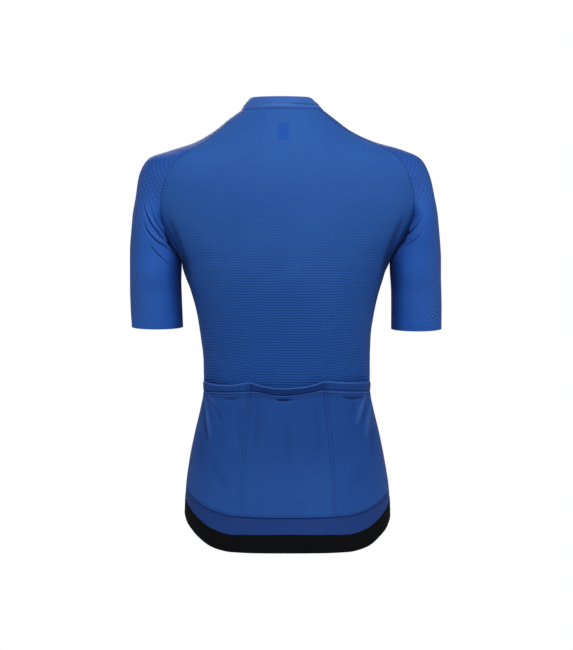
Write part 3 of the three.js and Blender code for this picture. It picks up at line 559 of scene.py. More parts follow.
def knit_material(name, back):
    """The body's knit. On the back the bonded label inside flattens the ribs and shows through."""
    made, tree, shader, cloth, place = cloth_material(name, 0.1, 0.72, 0.14)
    spot = split_xyz(tree, place)
    knit = use_group(tree, ribbed_knit, Cloth=cloth, Wale_share=0.2)
    low = smooth_range(tree, spot[2], *RIBS_AT, 0.3, 1.0)
    lower = smooth_range(tree, spot[2], *DEEPER_AT)
    loops = times(tree, knit["Loops"], low)
    tone = use_group(tree, dyed_tone, Place=place)["Tone"]
    shade = calc(tree, "MULTIPLY_ADD", tone, 0.25, times(tree, loops, 0.42))
    shade = calc(tree, "MULTIPLY_ADD", lower, 0.36, shade)
    colour = crease_lit(tree, blend(tree, shade, BACK_BLUE, BACK_BLUE_DEEP), 0.5, 0.0)
    height = times(tree, knit["Height"], low)
    if back:
        # Painted shade: a darker navy strip below the pockets, where the back curves in under them.
        bend = calc(tree, "POWER", times(tree, calc(tree, "ABSOLUTE", spot[0]), 6.9), 3.2)
        strip = smooth_range(tree, calc(tree, "MULTIPLY_ADD", bend, -0.19, spot[2]), *SHADE_STRIP_AT)
        strip = times(tree, strip, smooth_range(tree, spot[2], *SHADE_STRIP_SIDE_AT, 0.0, 0.75))
        colour = blend(tree, strip, colour, UNDER_POCKET_SHADE)
        patch = 1.0
        for k, middle, size in ((0, LABEL["x"], LABEL["wide"]), (2, LABEL["z"], LABEL["tall"])):
            off = calc(tree, "ABSOLUTE", calc(tree, "SUBTRACT", spot[k], middle / 1000))
            edge = smooth_range(tree, off, size / 2000 + 0.0006, size / 2000 - 0.0006)
            patch = times(tree, patch, edge)
        colour = blend(tree, times(tree, patch, 0.7), colour, LABEL_SHOWS)
        height = times(tree, height, calc(tree, "SUBTRACT", 1.0, patch))
    dressed(tree, shader, colour, height, 0.0004)
    return made


# The back's creases: two soft ridges over the pocket dividers and those that run from the armpits.
BACK_FOLDS = [
    (10, -1.6, 0, [(54, -389), (56, -350), (52, -312)]),
    (10, -1.7, 0, [(-53, -388), (-56, -345), (-50, -298)]),
    (6, 2.6, 0.3, [(172, -150), (158, -186), (147, -216), (137, -246)]),
    (2.2, 1.4, 0.4, [(177, -158), (167, -182), (157, -204)]),
    (3, 0.6, 0.4, [(146, -206), (134, -222), (120, -234)]),
    (6, 2.5, 0.3, [(-170, -150), (-156, -184), (-145, -212), (-136, -240)]),
    (2.2, 1.0, 0.4, [(-175, -164), (-165, -186), (-155, -204)]),
    (5, 0.7, 0.3, [(104, -330), (96, -352), (84, -372)]),
    (5, 0.8, 0.3, [(-108, -338), (-98, -360), (-84, -378)]),
    (7, 0.9, 0.3, [(118, -420), (112, -470), (114, -520)]),
    (7, 1.0, 0.3, [(-119, -415), (-114, -460), (-116, -505)]),
]

half = np.linspace(0, 1, 76)
signed_turn = np.concatenate([-half[::-1], half[1:]])
yoke_z = np.linspace(NECK_SEAM - SEAM_HALF_GAP, UNDERARM + 0.3, 116)
torso_z = np.linspace(UNDERARM - 2.2, WAIST + 14, 72)
lower_rows = np.linspace(0, 1, 92)


def back_rows(z, columns):
    """The back's points on rows of height z, which may change along a row."""
    grid = []
    for side in (-1, 1):
        here = columns <= 0 if side < 0 else columns > 0
        s = np.abs(columns[here])[None, :]
        height = z if z.shape[1] == 1 else z[:, here]
        end = short_of(lambda t: body_point(side, 1, height, t))
        grid.append(body_point(side, 1, height, s * end))
    return np.concatenate(grid, axis=1)


lower_z = mix(WAIST + 12, edge_at("grip", 90 * signed_turn)[None, :] + SEAM_HALF_GAP,
    lower_rows[:, None])
back_grid = np.concatenate([back_rows(yoke_z[:, None], signed_turn),
    back_rows(torso_z[:, None], signed_turn), back_rows(lower_z, signed_turn)])
back_measure = cloth_measure(back_grid)
# The dividers pull the cloth down, so that the ribs beside them sag, steeply on the outer side. A
# divider is given by where it ends, how far it pulls, and where the puckers above it end.
DIVIDER_ENDS = ((54, 30, -300), (-58, -34, -285))
DIVIDER_TOP = -390
RIB_SAG = 7.5
SAG_FROM = -285
back_z = back_grid[..., 2]
for x, reach, _top in DIVIDER_ENDS:
    off = (back_grid[..., 0] - x) / reach
    pulled = bell(np.where(off > 0, off, 9 * off), 1) * ease((SAG_FROM - back_z) / 90)
    back_measure[..., 1] += RIB_SAG * pulled
flat_back = back_grid
back_grid = creased(back_grid, BODY_AXIS, BACK_FOLDS)
# Above each divider the cloth is gathered by the end of the seam, in a short ladder of puckers.
PUCKER_STEP = 7.4
PUCKER_WIDE = 4.4
PUCKER_DEEP = 0.7
back_z = back_grid[..., 2]
for x, _reach, top in DIVIDER_ENDS:
    far = back_grid[..., 0] - x - 3 * np.sin(back_z * 0.03)
    rise = ease((back_z - DIVIDER_TOP) / 8) * ease((top - back_z) / 50)
    ladder = np.sin(back_z * 2 * math.pi / PUCKER_STEP + 0.6 * np.sin(back_z * 0.21))
    gathered = PUCKER_DEEP * ladder * rise * bell(far, PUCKER_WIDE)
    back_grid[..., 1] += gathered * (back_grid[..., 1] > 0)

back_panel = cloth_piece("back_cloth", back_grid, back_measure, CLOTH, BODY_AXIS,
    knit_material("back knit", True), pressed=pressed_in(flat_back, back_grid, BODY_AXIS))
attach(back_panel, "garment")
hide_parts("back_panel")

# The fronts
# Two panels of the same knit, each sewn to the zip's tape along one edge, to the back down the side
# and to the sleeve along the front raglan seam. Both are plain, because the photograph hides them.
ZIP_HALF_GAP = 3.4
FRONT_FOLDS = [
    (7, 1.8, 0.3, [(148, -214), (132, -232), (108, -246)]),
    (4, 1.1, 0.5, [(146, -226), (128, -250), (104, -268)]),
    (7, 1.7, 0.3, [(-146, -216), (-128, -236), (-106, -248)]),
    (4, 1.0, 0.5, [(-144, -230), (-126, -256), (-106, -272)]),
    (5, 1.0, 0.4, [(112, -352), (88, -366), (60, -370)]),
    (5, 0.9, 0.4, [(114, -384), (84, -392), (52, -388)]),
    (5, 1.1, 0.4, [(-113, -358), (-84, -374), (-54, -376)]),
    (5, 0.8, 0.4, [(-114, -392), (-90, -398), (-62, -394)]),
    (3.4, 0.6, 0.3, [(24, -300), (15, -316), (9, -322)]),
    (3.4, 0.6, 0.3, [(-26, -344), (-15, -356), (-9, -360)]),
    (3.6, 0.6, 0.3, [(28, -420), (16, -432), (9, -436)]),
    (3.6, 0.5, 0.3, [(-24, -470), (-15, -480), (-9, -484)]),
]


def middle_share(side, z, away):
    """Where along a front's rows the cloth lies so far from the zip's middle."""
    middle = body_point(side, -1, z, 0)[..., 0]
    return passing(lambda s: np.abs(body_point(side, -1, z, s)[..., 0] - middle) < away, 0 * z,
        0.3 + 0 * z, 18)


front_knit = knit_material("front knit", False)
front_grids = {}
front_columns = np.linspace(0, 1, 66)[None, :]
for side, hand in ((1, "left"), (-1, "right")):
    heights = np.concatenate([yoke_z, torso_z])
    start = middle_share(side, heights, ZIP_HALF_GAP)[:, None]
    tall = heights[:, None]
    stop = short_of(lambda t: body_point(side, -1, tall, t))
    upper = body_point(side, -1, tall, mix(start, stop, front_columns))
    waist_start = middle_share(side, np.array([WAIST + 12]), ZIP_HALF_GAP)[0]
    turn = side * (180 - 90 * mix(waist_start, 1, front_columns))
    low_z = mix(WAIST + 12, edge_at("grip", turn) + SEAM_HALF_GAP, lower_rows[::2, None])
    ladder_z = np.linspace(-640, WAIST + 14, 60)
    starts = np.interp(low_z, ladder_z, middle_share(side, ladder_z, ZIP_HALF_GAP))
    stop = short_of(lambda t: body_point(side, -1, low_z, t))
    lower = body_point(side, -1, low_z, mix(starts, stop, front_columns))
    front_grid = np.concatenate([upper, lower])
    front_measure = cloth_measure(front_grid)
    flat_front = front_grid
    front_grid = creased(front_grid, BODY_AXIS, FRONT_FOLDS, towards=-1)
    front_grids[side] = front_grid
    front = cloth_piece("front_cloth_" + hand, front_grid, front_measure, CLOTH, BODY_AXIS,
        front_knit, pressed=pressed_in(flat_front, front_grid, BODY_AXIS))
    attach(front, "garment")
    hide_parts("front_" + hand)

# The sleeves
# Two raglan sleeves of a softer knit with rows of small dimples. Each is one panel, closed by a
# seam under the arm, and ends in a plain band that is bonded, with no stitches.
ARM = Table("z innerL outerL innerR outerR middle deepBack deepFront".split(), [
    (-219, 151.8, 227, 149.4, 224, 1, 54, 57),
    (-228, 152.8, 227, 150.8, 224, 0.5, 53, 56.4),
    (-236, 153, 227, 151.2, 224, -0.4, 52.1, 55.5),
    (-256, 152.2, 227, 151.6, 224.6, -3.3, 49.9, 52),
    (-282, 151.2, 226.4, 151.8, 225.2, -7, 47, 47.8),
    (-313, 150, 224.6, 151.8, 225.2, -11, 43.5, 43),
])
ARM_AXIS = (188, -2)
ARM_RISE = {1: 0.06, -1: 0.14}
CUFF = {1: -311.2, -1: -314}
CUFF_DROP = {1: 4.4, -1: -4}
CUFF_BAND = 15.0
ARM_BLEND = 44
# Millimetres of crease depth past which the sleeve's painted crease shade grows no darker.
DEEPEST_CREASE_SHADE = 1.7
# A cubic arc whose handles are this many times a depth is as deep as that.
BULGE = 4 / 3
SLEEVE_BLUE = srgb(38, 96, 188)
SLEEVE_BLUE_DEEP = srgb(4, 54, 136)
SLEEVE_BACK_FOLDS = [
    (1.5, 2.1, 0.6,
        [(164, -202), (173, -190), (185.5, -175), (197, -159), (204, -142), (208, -128)]),
    (1.4, 1.6, 0.5,
        [(166, -197), (170, -190), (178, -175), (186.5, -161), (193, -146), (199, -128)]),
    (1.6, 2.3, 0.6, [(164, -205), (173, -197), (187.5, -187.5), (200, -173), (207, -157)]),
    (1.5, 1.6, 0.5, [(164, -225), (177, -214.6), (190, -202), (199, -190)]),
    (1.6, 1.4, 0.5, [(180, -142), (175, -170), (168, -194), (162, -212)]),
    (1.5, 1.9, 0.6, [(-163, -187), (-170, -182), (-184, -169), (-197, -149)]),
    (1.5, 1.7, 0.5, [(-163, -197), (-174, -193), (-187.5, -184), (-200, -171)]),
    (1.7, 1.2, 0.4, [(-178, -150), (-175, -172), (-168, -192), (-163, -206)]),
]
SLEEVE_FRONT_FOLDS = [
    (3.6, 1.5, 0.35, [(162, -202), (174, -186), (192, -166)]),
    (3.4, 1.3, 0.35, [(162, -214), (176, -202), (196, -190)]),
    (3.6, 0.8, 0.35, [(165, -238), (178, -228), (194, -222)]),
    (3.4, 1.4, 0.35, [(-162, -198), (-172, -184), (-190, -160)]),
    (3.4, 1.2, 0.35, [(-162, -212), (-176, -202), (-194, -194)]),
    (3.6, 0.7, 0.35, [(-164, -240), (-178, -230), (-194, -226)]),
]

# Lens-shaped dimples in staggered rows, as they are knitted into the cloth.
tree, enter, leave = node_group("dimpled knit", "ShaderNodeTree",
    {"Cloth": "Vector", "Wide": 6.8, "Tall": 9.0, "Slant": 0.3},
    {"Height": "Float", "Dimples": "Float"})
dimpled_knit = tree
parts = split_xyz(tree, enter["Cloth"])
slanted = [parts[0], calc(tree, "MULTIPLY_ADD", parts[0], enter["Slant"], parts[1])]
marks = []
for shift in (0.0, 0.5):
    sides = []
    for k, size in ((0, enter["Wide"]), (1, enter["Tall"])):
        cell = calc(tree, "ADD", calc(tree, "DIVIDE", slanted[k], size), shift)
        off = calc(tree, "SUBTRACT", calc(tree, "FRACT", cell), 0.5)
        sides.append(calc(tree, "ABSOLUTE", off))
    far = calc(tree, "ADD", calc(tree, "POWER", times(tree, sides[0], 2.2), 1.8),
        calc(tree, "POWER", times(tree, sides[1], 4.6), 1.8))
    marks.append(smooth_range(tree, far, 1.05, 0.4))
dimples = calc(tree, "MAXIMUM", marks[0], marks[1])
yarn = noise(tree, enter["Cloth"], 1.1, 2.0)
tree.links.new(calc(tree, "MULTIPLY_ADD", yarn, 0.3, dimples), leave["Height"])
tree.links.new(dimples, leave["Dimples"])

sleeve_knit, tree, shader, cloth, place = cloth_material("sleeve knit", 0.07, 0.62, 0.2)
measure = split_xyz(tree, cloth)
knit = use_group(tree, dimpled_knit, Cloth=cloth)
spot = split_xyz(tree, place)
# The dimples are coloured pale and the cloth between them darker, most toward the outside of the
# arm and down the sleeve: partly the knitted pattern, partly painted sheen where the light grazes
# them.
outside = smooth_range(tree, calc(tree, "ABSOLUTE", measure[0]), 64.0, 20.0, 0.1, 1.0)
outside = calc(tree, "MAXIMUM", outside, smooth_range(tree, spot[2], -0.165, -0.11, 0.0, 0.55))
above_band = smooth_range(tree, measure[1], CUFF_BAND - 1.5, CUFF_BAND + 1.5)
# The crown, the top of the shoulder, gets fewer pale dimples and painted shade.
crown = smooth_range(tree, spot[2], -0.095, -0.045)
pattern = times(tree, outside, above_band)
pattern = times(tree, pattern, calc(tree, "MULTIPLY_ADD", crown, -0.85, 1.0))
dimple_share = times(tree, knit["Dimples"], pattern)
tone = use_group(tree, dyed_tone, Place=place)["Tone"]
plain = blend(tree, times(tree, tone, 0.3), SLEEVE_BLUE, SLEEVE_BLUE_DEEP)
between = times(tree, calc(tree, "SUBTRACT", 1.0, knit["Dimples"]), pattern)
shaded = blend(tree, times(tree, between, 0.5), plain, SLEEVE_BLUE_DEEP)
coloured = blend(tree, times(tree, dimple_share, 0.5), shaded, srgb(84, 126, 202))
# Painted shade on the inner side of the lower sleeve, which faces the body.
inner = times(tree, smooth_range(tree, calc(tree, "ABSOLUTE", measure[0]), 82.0, 118.0),
    smooth_range(tree, spot[2], -0.17, -0.23))
coloured = blend(tree, times(tree, inner, 0.9), coloured, srgb(0, 40, 112))
coloured = blend(tree, times(tree, crown, 0.5), coloured, SLEEVE_BLUE_DEEP)
edge_of_band = smooth_range(tree, measure[1], CUFF_BAND + 0.6, CUFF_BAND - 0.6)
height = calc(tree, "MULTIPLY_ADD", edge_of_band, 0.8, times(tree, knit["Height"], pattern))
dressed(tree, shader, crease_lit(tree, coloured, 0.75, 0.3), height, 0.0006)


def sleeve_half(side, face, z, s):
    """Half of a sleeve's ring, from its seam, s = 0, to the outside of the arm, s = 1."""
    z, s = paired(z, s)
    letter = "L" if side > 0 else "R"
    inner, outer = ARM.at("inner" + letter, z), ARM.at("outer" + letter, z)
    deep = ARM.at("deepBack" if face > 0 else "deepFront", z)
    x = arc(inner, inner, outer, outer, s)
    off = arc(0 * deep, BULGE * deep, BULGE * deep, 0 * deep, s)
    low = CUFF_DROP[face] * (off / deep) * ease((UNDERARM - z) / (UNDERARM - CUFF[side]))
    below = np.stack([side * x, ARM.at("middle", z) + face * off, z - low], -1)
    r = yoke_ring(side, face, np.maximum(z, UNDERARM))
    share = np.minimum((r["seam_x"] - r["mid_x"]) / r["wide"], 0.998)
    k = 4 / 3 * np.tan(np.arccos(share) / 4)
    flat_x = r["seam_x"] + k * r["wide"] * np.sqrt(1 - share * share)
    flat_y = r["seam_off"] - k * r["deep"] * share
    deep = ARM.at("deepBack" if face > 0 else "deepFront", np.array(UNDERARM))
    deep = deep + ARM_RISE[face] * (np.maximum(z, UNDERARM) - UNDERARM)
    rounded = BULGE * (deep - 0.16 * r["seam_off"])
    seam_x = r["seam_x"] + UNDERARM_GAP * np.sqrt(np.maximum(r["split"], 0)) * ease((-120 - z) / 60)
    x = arc(seam_x, mix(flat_x, seam_x, r["split"]), r["out_x"], r["out_x"], s)
    off = arc(r["seam_off"], mix(flat_y, rounded, r["split"]),
        mix(k * r["deep"], rounded, r["split"]), 0 * z, s)
    above = np.stack([side * x, r["side_y"] + face * off,
        ring_height(r, x) + np.minimum(z - UNDERARM, 0)], -1)
    return mix(above, below, ease((UNDERARM - z) / ARM_BLEND)[..., None])


sleeve_u = np.concatenate([np.linspace(0, 0.55, 111), np.linspace(0.55, 1, 53)[1:]])
sleeve_grids = {}
for side, hand in ((1, "left"), (-1, "right")):
    arm_z = np.linspace(UNDERARM - 1.6, CUFF[side], 47)
    sleeve_z = np.concatenate([yoke_z, arm_z])[:, None]
    gap_back, gap_front = (1 - short_of(lambda t: sleeve_half(side, face, yoke_z[:, None], 1 - t))
        for face in (1, -1))
    u = np.repeat(sleeve_u[None, :], len(sleeve_z), axis=0)
    u[: len(yoke_z)] = np.clip(u[: len(yoke_z)], gap_back / 2, 1 - gap_front / 2)
    sleeve_grid = np.where((u <= 0.5)[..., None],
        sleeve_half(side, 1, sleeve_z, np.minimum(2 * u, 1)),
        sleeve_half(side, -1, sleeve_z, np.minimum(2 - 2 * u, 1)))
    middle = int(np.argmin(np.abs(sleeve_u - 0.5)))
    round_arm = run_along(sleeve_grid, 1)
    round_arm -= round_arm[:, [middle]]
    up_arm = run_along(sleeve_grid[::-1, middle])[::-1]
    sleeve_measure = np.stack(paired(round_arm, up_arm[:, None]), -1)
    axis = (side * ARM_AXIS[0], ARM_AXIS[1])
    pressed = creased(sleeve_grid, axis, SLEEVE_BACK_FOLDS, towards=1)
    pressed = creased(pressed, axis, SLEEVE_FRONT_FOLDS, towards=-1)
    hold = ease(sleeve_u * 60) * ease((1 - sleeve_u) * 20)
    pressed = mix(sleeve_grid, pressed, hold[None, :, None])
    deep = np.minimum(pressed_in(sleeve_grid, pressed, axis), DEEPEST_CREASE_SHADE)
    sleeve_grid = pressed
    sleeve_grids[side] = sleeve_grid
    sleeve = cloth_piece("sleeve_cloth_" + hand, sleeve_grid, sleeve_measure, CLOTH, axis,
        sleeve_knit, closed=np.arange(len(yoke_z), len(sleeve_z)), pressed=deep)
    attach(sleeve, "garment")
    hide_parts("sleeve_" + hand)

# The collar
# One low standing band of the sleeves' knit without dimples, two layers turned at the top, sewn to
# the neck and open at the zip. It puckers a little where the seam is held.
COLLAR_AXIS = (8, 5)
COLLAR_TALL = 19.0
COLLAR_PUCKER = 0.28
COLLAR = {"centre_x": 8, "half": 47, "back": 55, "front": -52}
COLLAR_TOP = {"back_z": 19.9, "side_z": 16.5, "round": 16, "front_z": -25, "side_y": 5,
    "swell": 0.8}
COLLAR_BLUE = srgb(60, 108, 190)
COLLAR_BLUE_DEEP = srgb(34, 80, 162)
COLLAR_FOLDS = [
    (1.4, 0.35, 0.35, [(52, 9.4), (20, 10.2), (-4, 10.4)]),
    (1.3, 1.0, 0.5, [(2, 8.8), (-16, 9.4), (-34, 9.0), (-50, 7.6)]),
    (1.6, -0.95, 0, [(46, 5.4), (20, 6.4), (4, 6.6), (-20, 5.6)]),
    (0.9, 0.3, 0, [(28, 2.6), (8, 2.8), (-18, 2.6)]),
    (1.2, 0.35, 0.35, [(-16, 4.5), (-19, 9.5)]),
    (1.3, 0.4, 0.35, [(-28, 4.2), (-31, 9.6)]),
    (1.3, 0.45, 0.35, [(-37, 4.6), (-38, 10.4)]),
    (1.3, 0.35, 0.35, [(33, 3.8), (36, 9)]),
    (1.3, 0.35, 0.35, [(48, 4.6), (50, 10)]),
]


def collar_point(turn, v):
    """The collar at a turn round the neck, 0 behind and 180 at the zip, and a height, 0 to 1."""
    turn, v = paired(turn, v)
    a = np.radians(np.minimum(np.abs(turn), 180 - np.abs(turn)))
    points = np.zeros(turn.shape + (3,))
    top = COLLAR_TOP
    for side in (1, -1):
        for face in (1, -1):
            here = ((turn >= 0) == (side > 0)) & ((np.abs(turn) <= 90) == (face > 0))
            r = yoke_ring(side, face, np.array(NECK_SEAM))
            x = r["mid_x"] + r["wide"] * np.sin(a)
            low_y = r["side_y"] + face * r["deep"] * np.cos(a)
            low = np.stack([side * x, low_y, ring_height(r, x) + 0.35], -1)
            mid_y = COLLAR["back"] if face > 0 else COLLAR["front"]
            mid_z = top["back_z"] if face > 0 else top["front_z"]
            high_x = COLLAR["centre_x"] + side * COLLAR["half"] * np.sin(a)
            high_y = top["side_y"] + (mid_y - top["side_y"]) * np.cos(a)
            high = np.stack([high_x, high_y,
                mix(mid_z, top["side_z"], np.sin(a) ** (top["round"] if face > 0 else 2))], -1)
            spot = mix(low, high, v[..., None])
            out = spot[..., :2] - np.array([COLLAR["centre_x"], top["side_y"]])
            out /= np.maximum(np.linalg.norm(out, axis=-1, keepdims=True), 1e-9)
            spot[..., :2] += out * (top["swell"] * np.sin(v * math.pi))[..., None]
            points = np.where(here[..., None], spot, points)
    return points


collar_knit, tree, shader, cloth, place = cloth_material("collar knit", 0.16, 0.66, 0.2)
knit, tone = knit_and_tone(tree, cloth, place, 1.5, 1.3, 0.6, 0.2, 0.5)
measure = split_xyz(tree, cloth)
near_seam = smooth_range(tree, measure[1], 3.2, 0.4)
shade = calc(tree, "MULTIPLY_ADD", tone, 0.4, times(tree, near_seam, 0.4))
colour = crease_lit(tree, blend(tree, shade, COLLAR_BLUE, COLLAR_BLUE_DEEP), 0.8, 0.5)
dressed(tree, shader, colour, knit["Height"], 0.0002)

collar_turn = np.linspace(-180, 180, 5761)
near_zip = np.abs(collar_point(collar_turn, 0.5)[:, 0] - collar_point(180.0, 0.5)[0]) < ZIP_HALF_GAP
opening = 180 - np.abs(collar_turn[near_zip & (np.abs(collar_turn) > 90)]).min()
collar_turns = np.linspace(-180 + opening, 180 - opening, 241)
collar_rise = np.concatenate([[1.0, 0.985, 0.96], np.linspace(0.92, 0.0, 15), [-0.05]])
collar_grid = collar_point(collar_turns[None, :], collar_rise[:, None])
round_neck = run_along(collar_grid[-1])
collar_measure = np.stack(paired(round_neck[None, :], COLLAR_TALL * collar_rise[:, None]), -1)
flat_collar = collar_grid
collar_grid = creased(collar_grid, COLLAR_AXIS, COLLAR_FOLDS)
# The shader paints shade and highlight on the collar's creases from their depth, made stronger
# here.
collar_crease_shading = 1.6 * pressed_in(flat_collar, collar_grid, COLLAR_AXIS)
pucker = np.sin(collar_turns * 0.9) * np.sin(collar_turns * 0.37 + 1)
arched = np.sin(np.clip(collar_rise, 0, 1) * math.pi)[:, None] ** 0.7
fullness = COLLAR_PUCKER * pucker[None, :] * arched
collar_grid += fullness[..., None] * grid_normals(collar_grid, COLLAR_AXIS)
collar = cloth_piece("collar_cloth", collar_grid, collar_measure, CLOTH, COLLAR_AXIS, collar_knit,
    pressed=collar_crease_shading)
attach(collar, "garment")
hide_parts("collar")

# The pockets
# One panel of smooth stretch knit on the lower back, sewn down its sides, along its foot and along
# two dividers. Its top is turned over an elastic and held by two rows of stitches, and the empty
# mouths gape.
POCKET_EDGE = 81.0
DIVIDERS = {-1: (-26.5, -25.0), 1: (25.2, 23.9)}
DIVIDER_HALF = 1.1
POCKET_GAP = 0.4
BAND_THICK = 1.8
BAND_SHARE = 0.3
BAND_FOOT = 3.4
FOOT_TALL = 8.5
FOOT_MORE = 0.25
# For each pocket: where it starts and ends, by its dividers, and how far the cloth stands off the
# back at its edge and at its stitches.
POCKETS = [
    {"from": None, "to": DIVIDERS[-1], "edge": 6.4, "stitched": 4.6},
    {"from": DIVIDERS[-1], "to": DIVIDERS[1], "edge": 9.6, "stitched": 4.2},
    {"from": DIVIDERS[1], "to": None, "edge": 6.6, "stitched": 4.6},
]
# By how far it is from the middle of the back: the height of the mouths' edge, and of the two rows.
MOUTHS = Table("x z first second".split(), [
    (-120, -389.5, -404.3, -409.3),
    (-108, -390.8, -404.4, -410.2),
    (-90, -391.3, -404.0, -410.0),
    (-72, -390.4, -403.1, -409.3),
    (-57, -389.4, -401.9, -408.0),
    (-50, -390.2, -402.2, -406.6),
    (-42, -392.8, -403.8, -407.6),
    (-33, -395.1, -405.9, -409.4),
    (-19, -397.7, -408.7, -412.1),
    (5, -399.3, -410.8, -414.4),
    (16, -398.8, -410.1, -413.7),
    (35, -395.5, -405.4, -409.0),
    (49, -391.4, -404.0, -408.4),
    (54, -391.0, -404.0, -409.0),
    (60, -391.6, -404.5, -409.3),
    (67, -393.3, -404.9, -409.5),
    (78, -394.7, -405.3, -409.8),
    (93, -394.5, -405.6, -410.1),
    (108, -391.5, -405.1, -409.0),
    (120, -389.0, -404.6, -408.1),
])
POCKET_BLUE = srgb(32, 82, 160)
POCKET_BLUE_DEEP = srgb(10, 62, 136)
POCKET_FOLDS = [
    (2.1, 2.4, 0.1, [(18, -415), (6, -416.4), (-9, -415.6)]),
    (2.0, 1.7, 0.1, [(94, -414.6), (80, -415.4), (65, -414.6)]),
    (2.2, 2.0, 0.1, [(-79, -412.6), (-94, -414.2), (-111, -412.6)]),
    (2.6, -1.6, 0, [(113, -408), (105, -424), (97, -440)]),
    (2.4, 1.8, 0.2, [(110, -416), (101, -432), (93, -450)]),
    (3.2, -1.3, 0, [(118, -410), (114, -440), (107, -474)]),
    (2.4, 1.8, 0.2, [(120, -418), (118, -450), (113, -484)]),
    (3.4, -1.5, 0, [(-116, -404), (-107, -428), (-99, -456)]),
    (2.8, 1.4, 0.2, [(-118, -412), (-113, -434), (-107, -458)]),
    (3.2, -1.3, 0, [(-121, -414), (-118, -442), (-113, -474)]),
    (5, 0.8, 0.2, [(-98, -416), (-94, -434), (-90, -452)]),
    (6, 0.9, 0.3, [(126, -440), (122, -480), (123, -525)]),
    (6, 0.9, 0.3, [(-128, -440), (-123, -478), (-125, -520)]),
    (8, 0.8, 0.2, [(84, -545), (99, -522), (112, -494)]),
    (8, 0.8, 0.2, [(-88, -550), (-101, -528), (-113, -500)]),
    (7, 0.8, 0.2, [(70, -420), (67, -455), (70, -495)]),
    (8, 0.7, 0.1, [(40, -420), (43, -460), (46, -505)]),
    (8, 0.8, 0.1, [(-40, -422), (-45, -466), (-48, -510)]),
    (13, 0.7, 0.1, [(4, -436), (-2, -480), (3, -530)]),
]


def body_round(turn, z):
    """The body's plain form by a turn from the middle of the back, above 0 on the left."""
    turn, z = paired(turn, z)
    share = np.minimum(np.abs(turn), 180 - np.abs(turn)) / 90
    left, behind = (turn >= 0)[..., None], (np.abs(turn) <= 90)[..., None]
    back, front = (np.where(left, body_point(1, face, z, share), body_point(-1, face, z, share))
        for face in (1, -1))
    return np.where(behind, back, front)


def off_the_back(turn, z, far):
    """A point that stands off the back's form by a distance."""
    across = body_round(turn + 0.05, z) - body_round(turn - 0.05, z)
    along = body_round(turn, z + 0.05) - body_round(turn, z - 0.05)
    out = np.cross(along, across)
    out /= np.linalg.norm(out, axis=-1, keepdims=True)
    return body_round(turn, z) + out * np.asarray(far)[..., None]


pocket_knit, tree, shader, cloth, place = cloth_material("pocket knit", 0.12, 0.62, 0.18)
knit, tone = knit_and_tone(tree, cloth, place, 1.1, 0.9, 0.75, 0.2, 0.35)
spot = split_xyz(tree, place)
# Painted light: the panel is painted lighter toward its foot, over the hips, where the light from
# above falls.
wear_and_hip_light = smooth_range(tree, spot[2], -0.47, -0.56)
measure = split_xyz(tree, cloth)
centre = smooth_range(tree, calc(tree, "ABSOLUTE", calc(tree, "ADD", spot[0], 0.002)), 0.06, 0.052,
    0.3, 0.85)
top_edge_highlight = smooth_range(tree, measure[1], -2.6, -1.2)
elastic = times(tree, smooth_range(tree, measure[1], -1.4, -2.8),
    smooth_range(tree, measure[1], -12.6, -10.4))
shade = calc(tree, "MULTIPLY_ADD", wear_and_hip_light, -0.45, calc(tree, "MULTIPLY_ADD", tone, 0.5, 0.4))
colour = blend(tree, shade, POCKET_BLUE, POCKET_BLUE_DEEP)
# Painted shade on the band below its top edge, strongest over the centre pocket, where the band
# tilts down over the mouth.
colour = blend(tree, times(tree, elastic, centre), colour, srgb(6, 46, 116))
# Painted highlight along the band's rolled top edge.
colour = blend(tree, times(tree, top_edge_highlight, 0.5), colour, srgb(60, 108, 186))
dressed(tree, shader, crease_lit(tree, colour, 0.75, 0.22), knit["Height"], 0.00012)

pocket_rows = np.concatenate([np.linspace(0, BAND_SHARE, 38),
    np.linspace(BAND_SHARE, 1.0, 75)[1:]])[:, None]
over_divider = np.linspace(-1, 1, 11)[None, 1:]
share = np.linspace(0, 1, 50)


def pocket_side(ends, sign):
    """Where each row of a pocket starts or ends: at a side seam, or beside a divider."""
    if ends is None:
        return sign * POCKET_EDGE + 0 * pocket_rows
    return mix(*ends, pocket_rows) - sign * DIVIDER_HALF


columns = []
for k, pocket in enumerate(POCKETS):
    start, end = pocket_side(pocket["from"], -1), pocket_side(pocket["to"], 1)
    t = share[None, min(k, 1) :]
    columns.append((mix(start, end, t), np.sin(t * math.pi), pocket["edge"], pocket["stitched"]))
    if pocket["to"] is not None:
        middle = mix(*pocket["to"], pocket_rows)
        columns.append((middle + DIVIDER_HALF * over_divider, 0, 0, 0))
turn, sag, edge_stand, row_stand = (np.concatenate(values, axis=1)
    for values in zip(*(np.broadcast_arrays(*column) for column in columns)))
bow = np.maximum(sag, 0) ** 0.8
from_middle = body_round(turn, WAIST)[..., 0]
high, first, second = (MOUTHS.at(name, from_middle) for name in ("z", "first", "second"))
band_end = second - BAND_FOOT
low = edge_at("pocket", turn)
in_band, under_band = pocket_rows / BAND_SHARE, (pocket_rows - BAND_SHARE) / (1 - BAND_SHARE)
z = np.where(in_band <= 1, mix(high, band_end, in_band), mix(band_end, low, under_band))
down = high - z
below = np.clip((first - z) / (first - low), 0, 1)
lean = mix(edge_stand, row_stand, np.clip(down / (high - first), 0, 1))
lean = lean * (1 - ease(below / 0.9)) ** 0.8
hem_here = ease((second - 1.6 - z) / 1.4)
cloth_here = mix(BAND_THICK, CLOTH, hem_here) + FOOT_MORE * ease((low + FOOT_TALL - z) / 1.5)
between = (first + second) / 2
form = 0.5 * np.sin(np.clip(down / (high - first), 0, 1) * math.pi) ** 0.6
form -= 1.1 * (1 - ease(down / 1.9))
grooves = 0.9 * bell(z - first, 0.9) + 0.7 * bell(z - second, 0.8)
grooves -= 0.6 * bell(z - between, 1.3) + 0.5 * bell(z - second + 1.6, 0.9)
form -= grooves
pocket_grid = off_the_back(turn, z, POCKET_GAP + cloth_here + bow * lean + form)
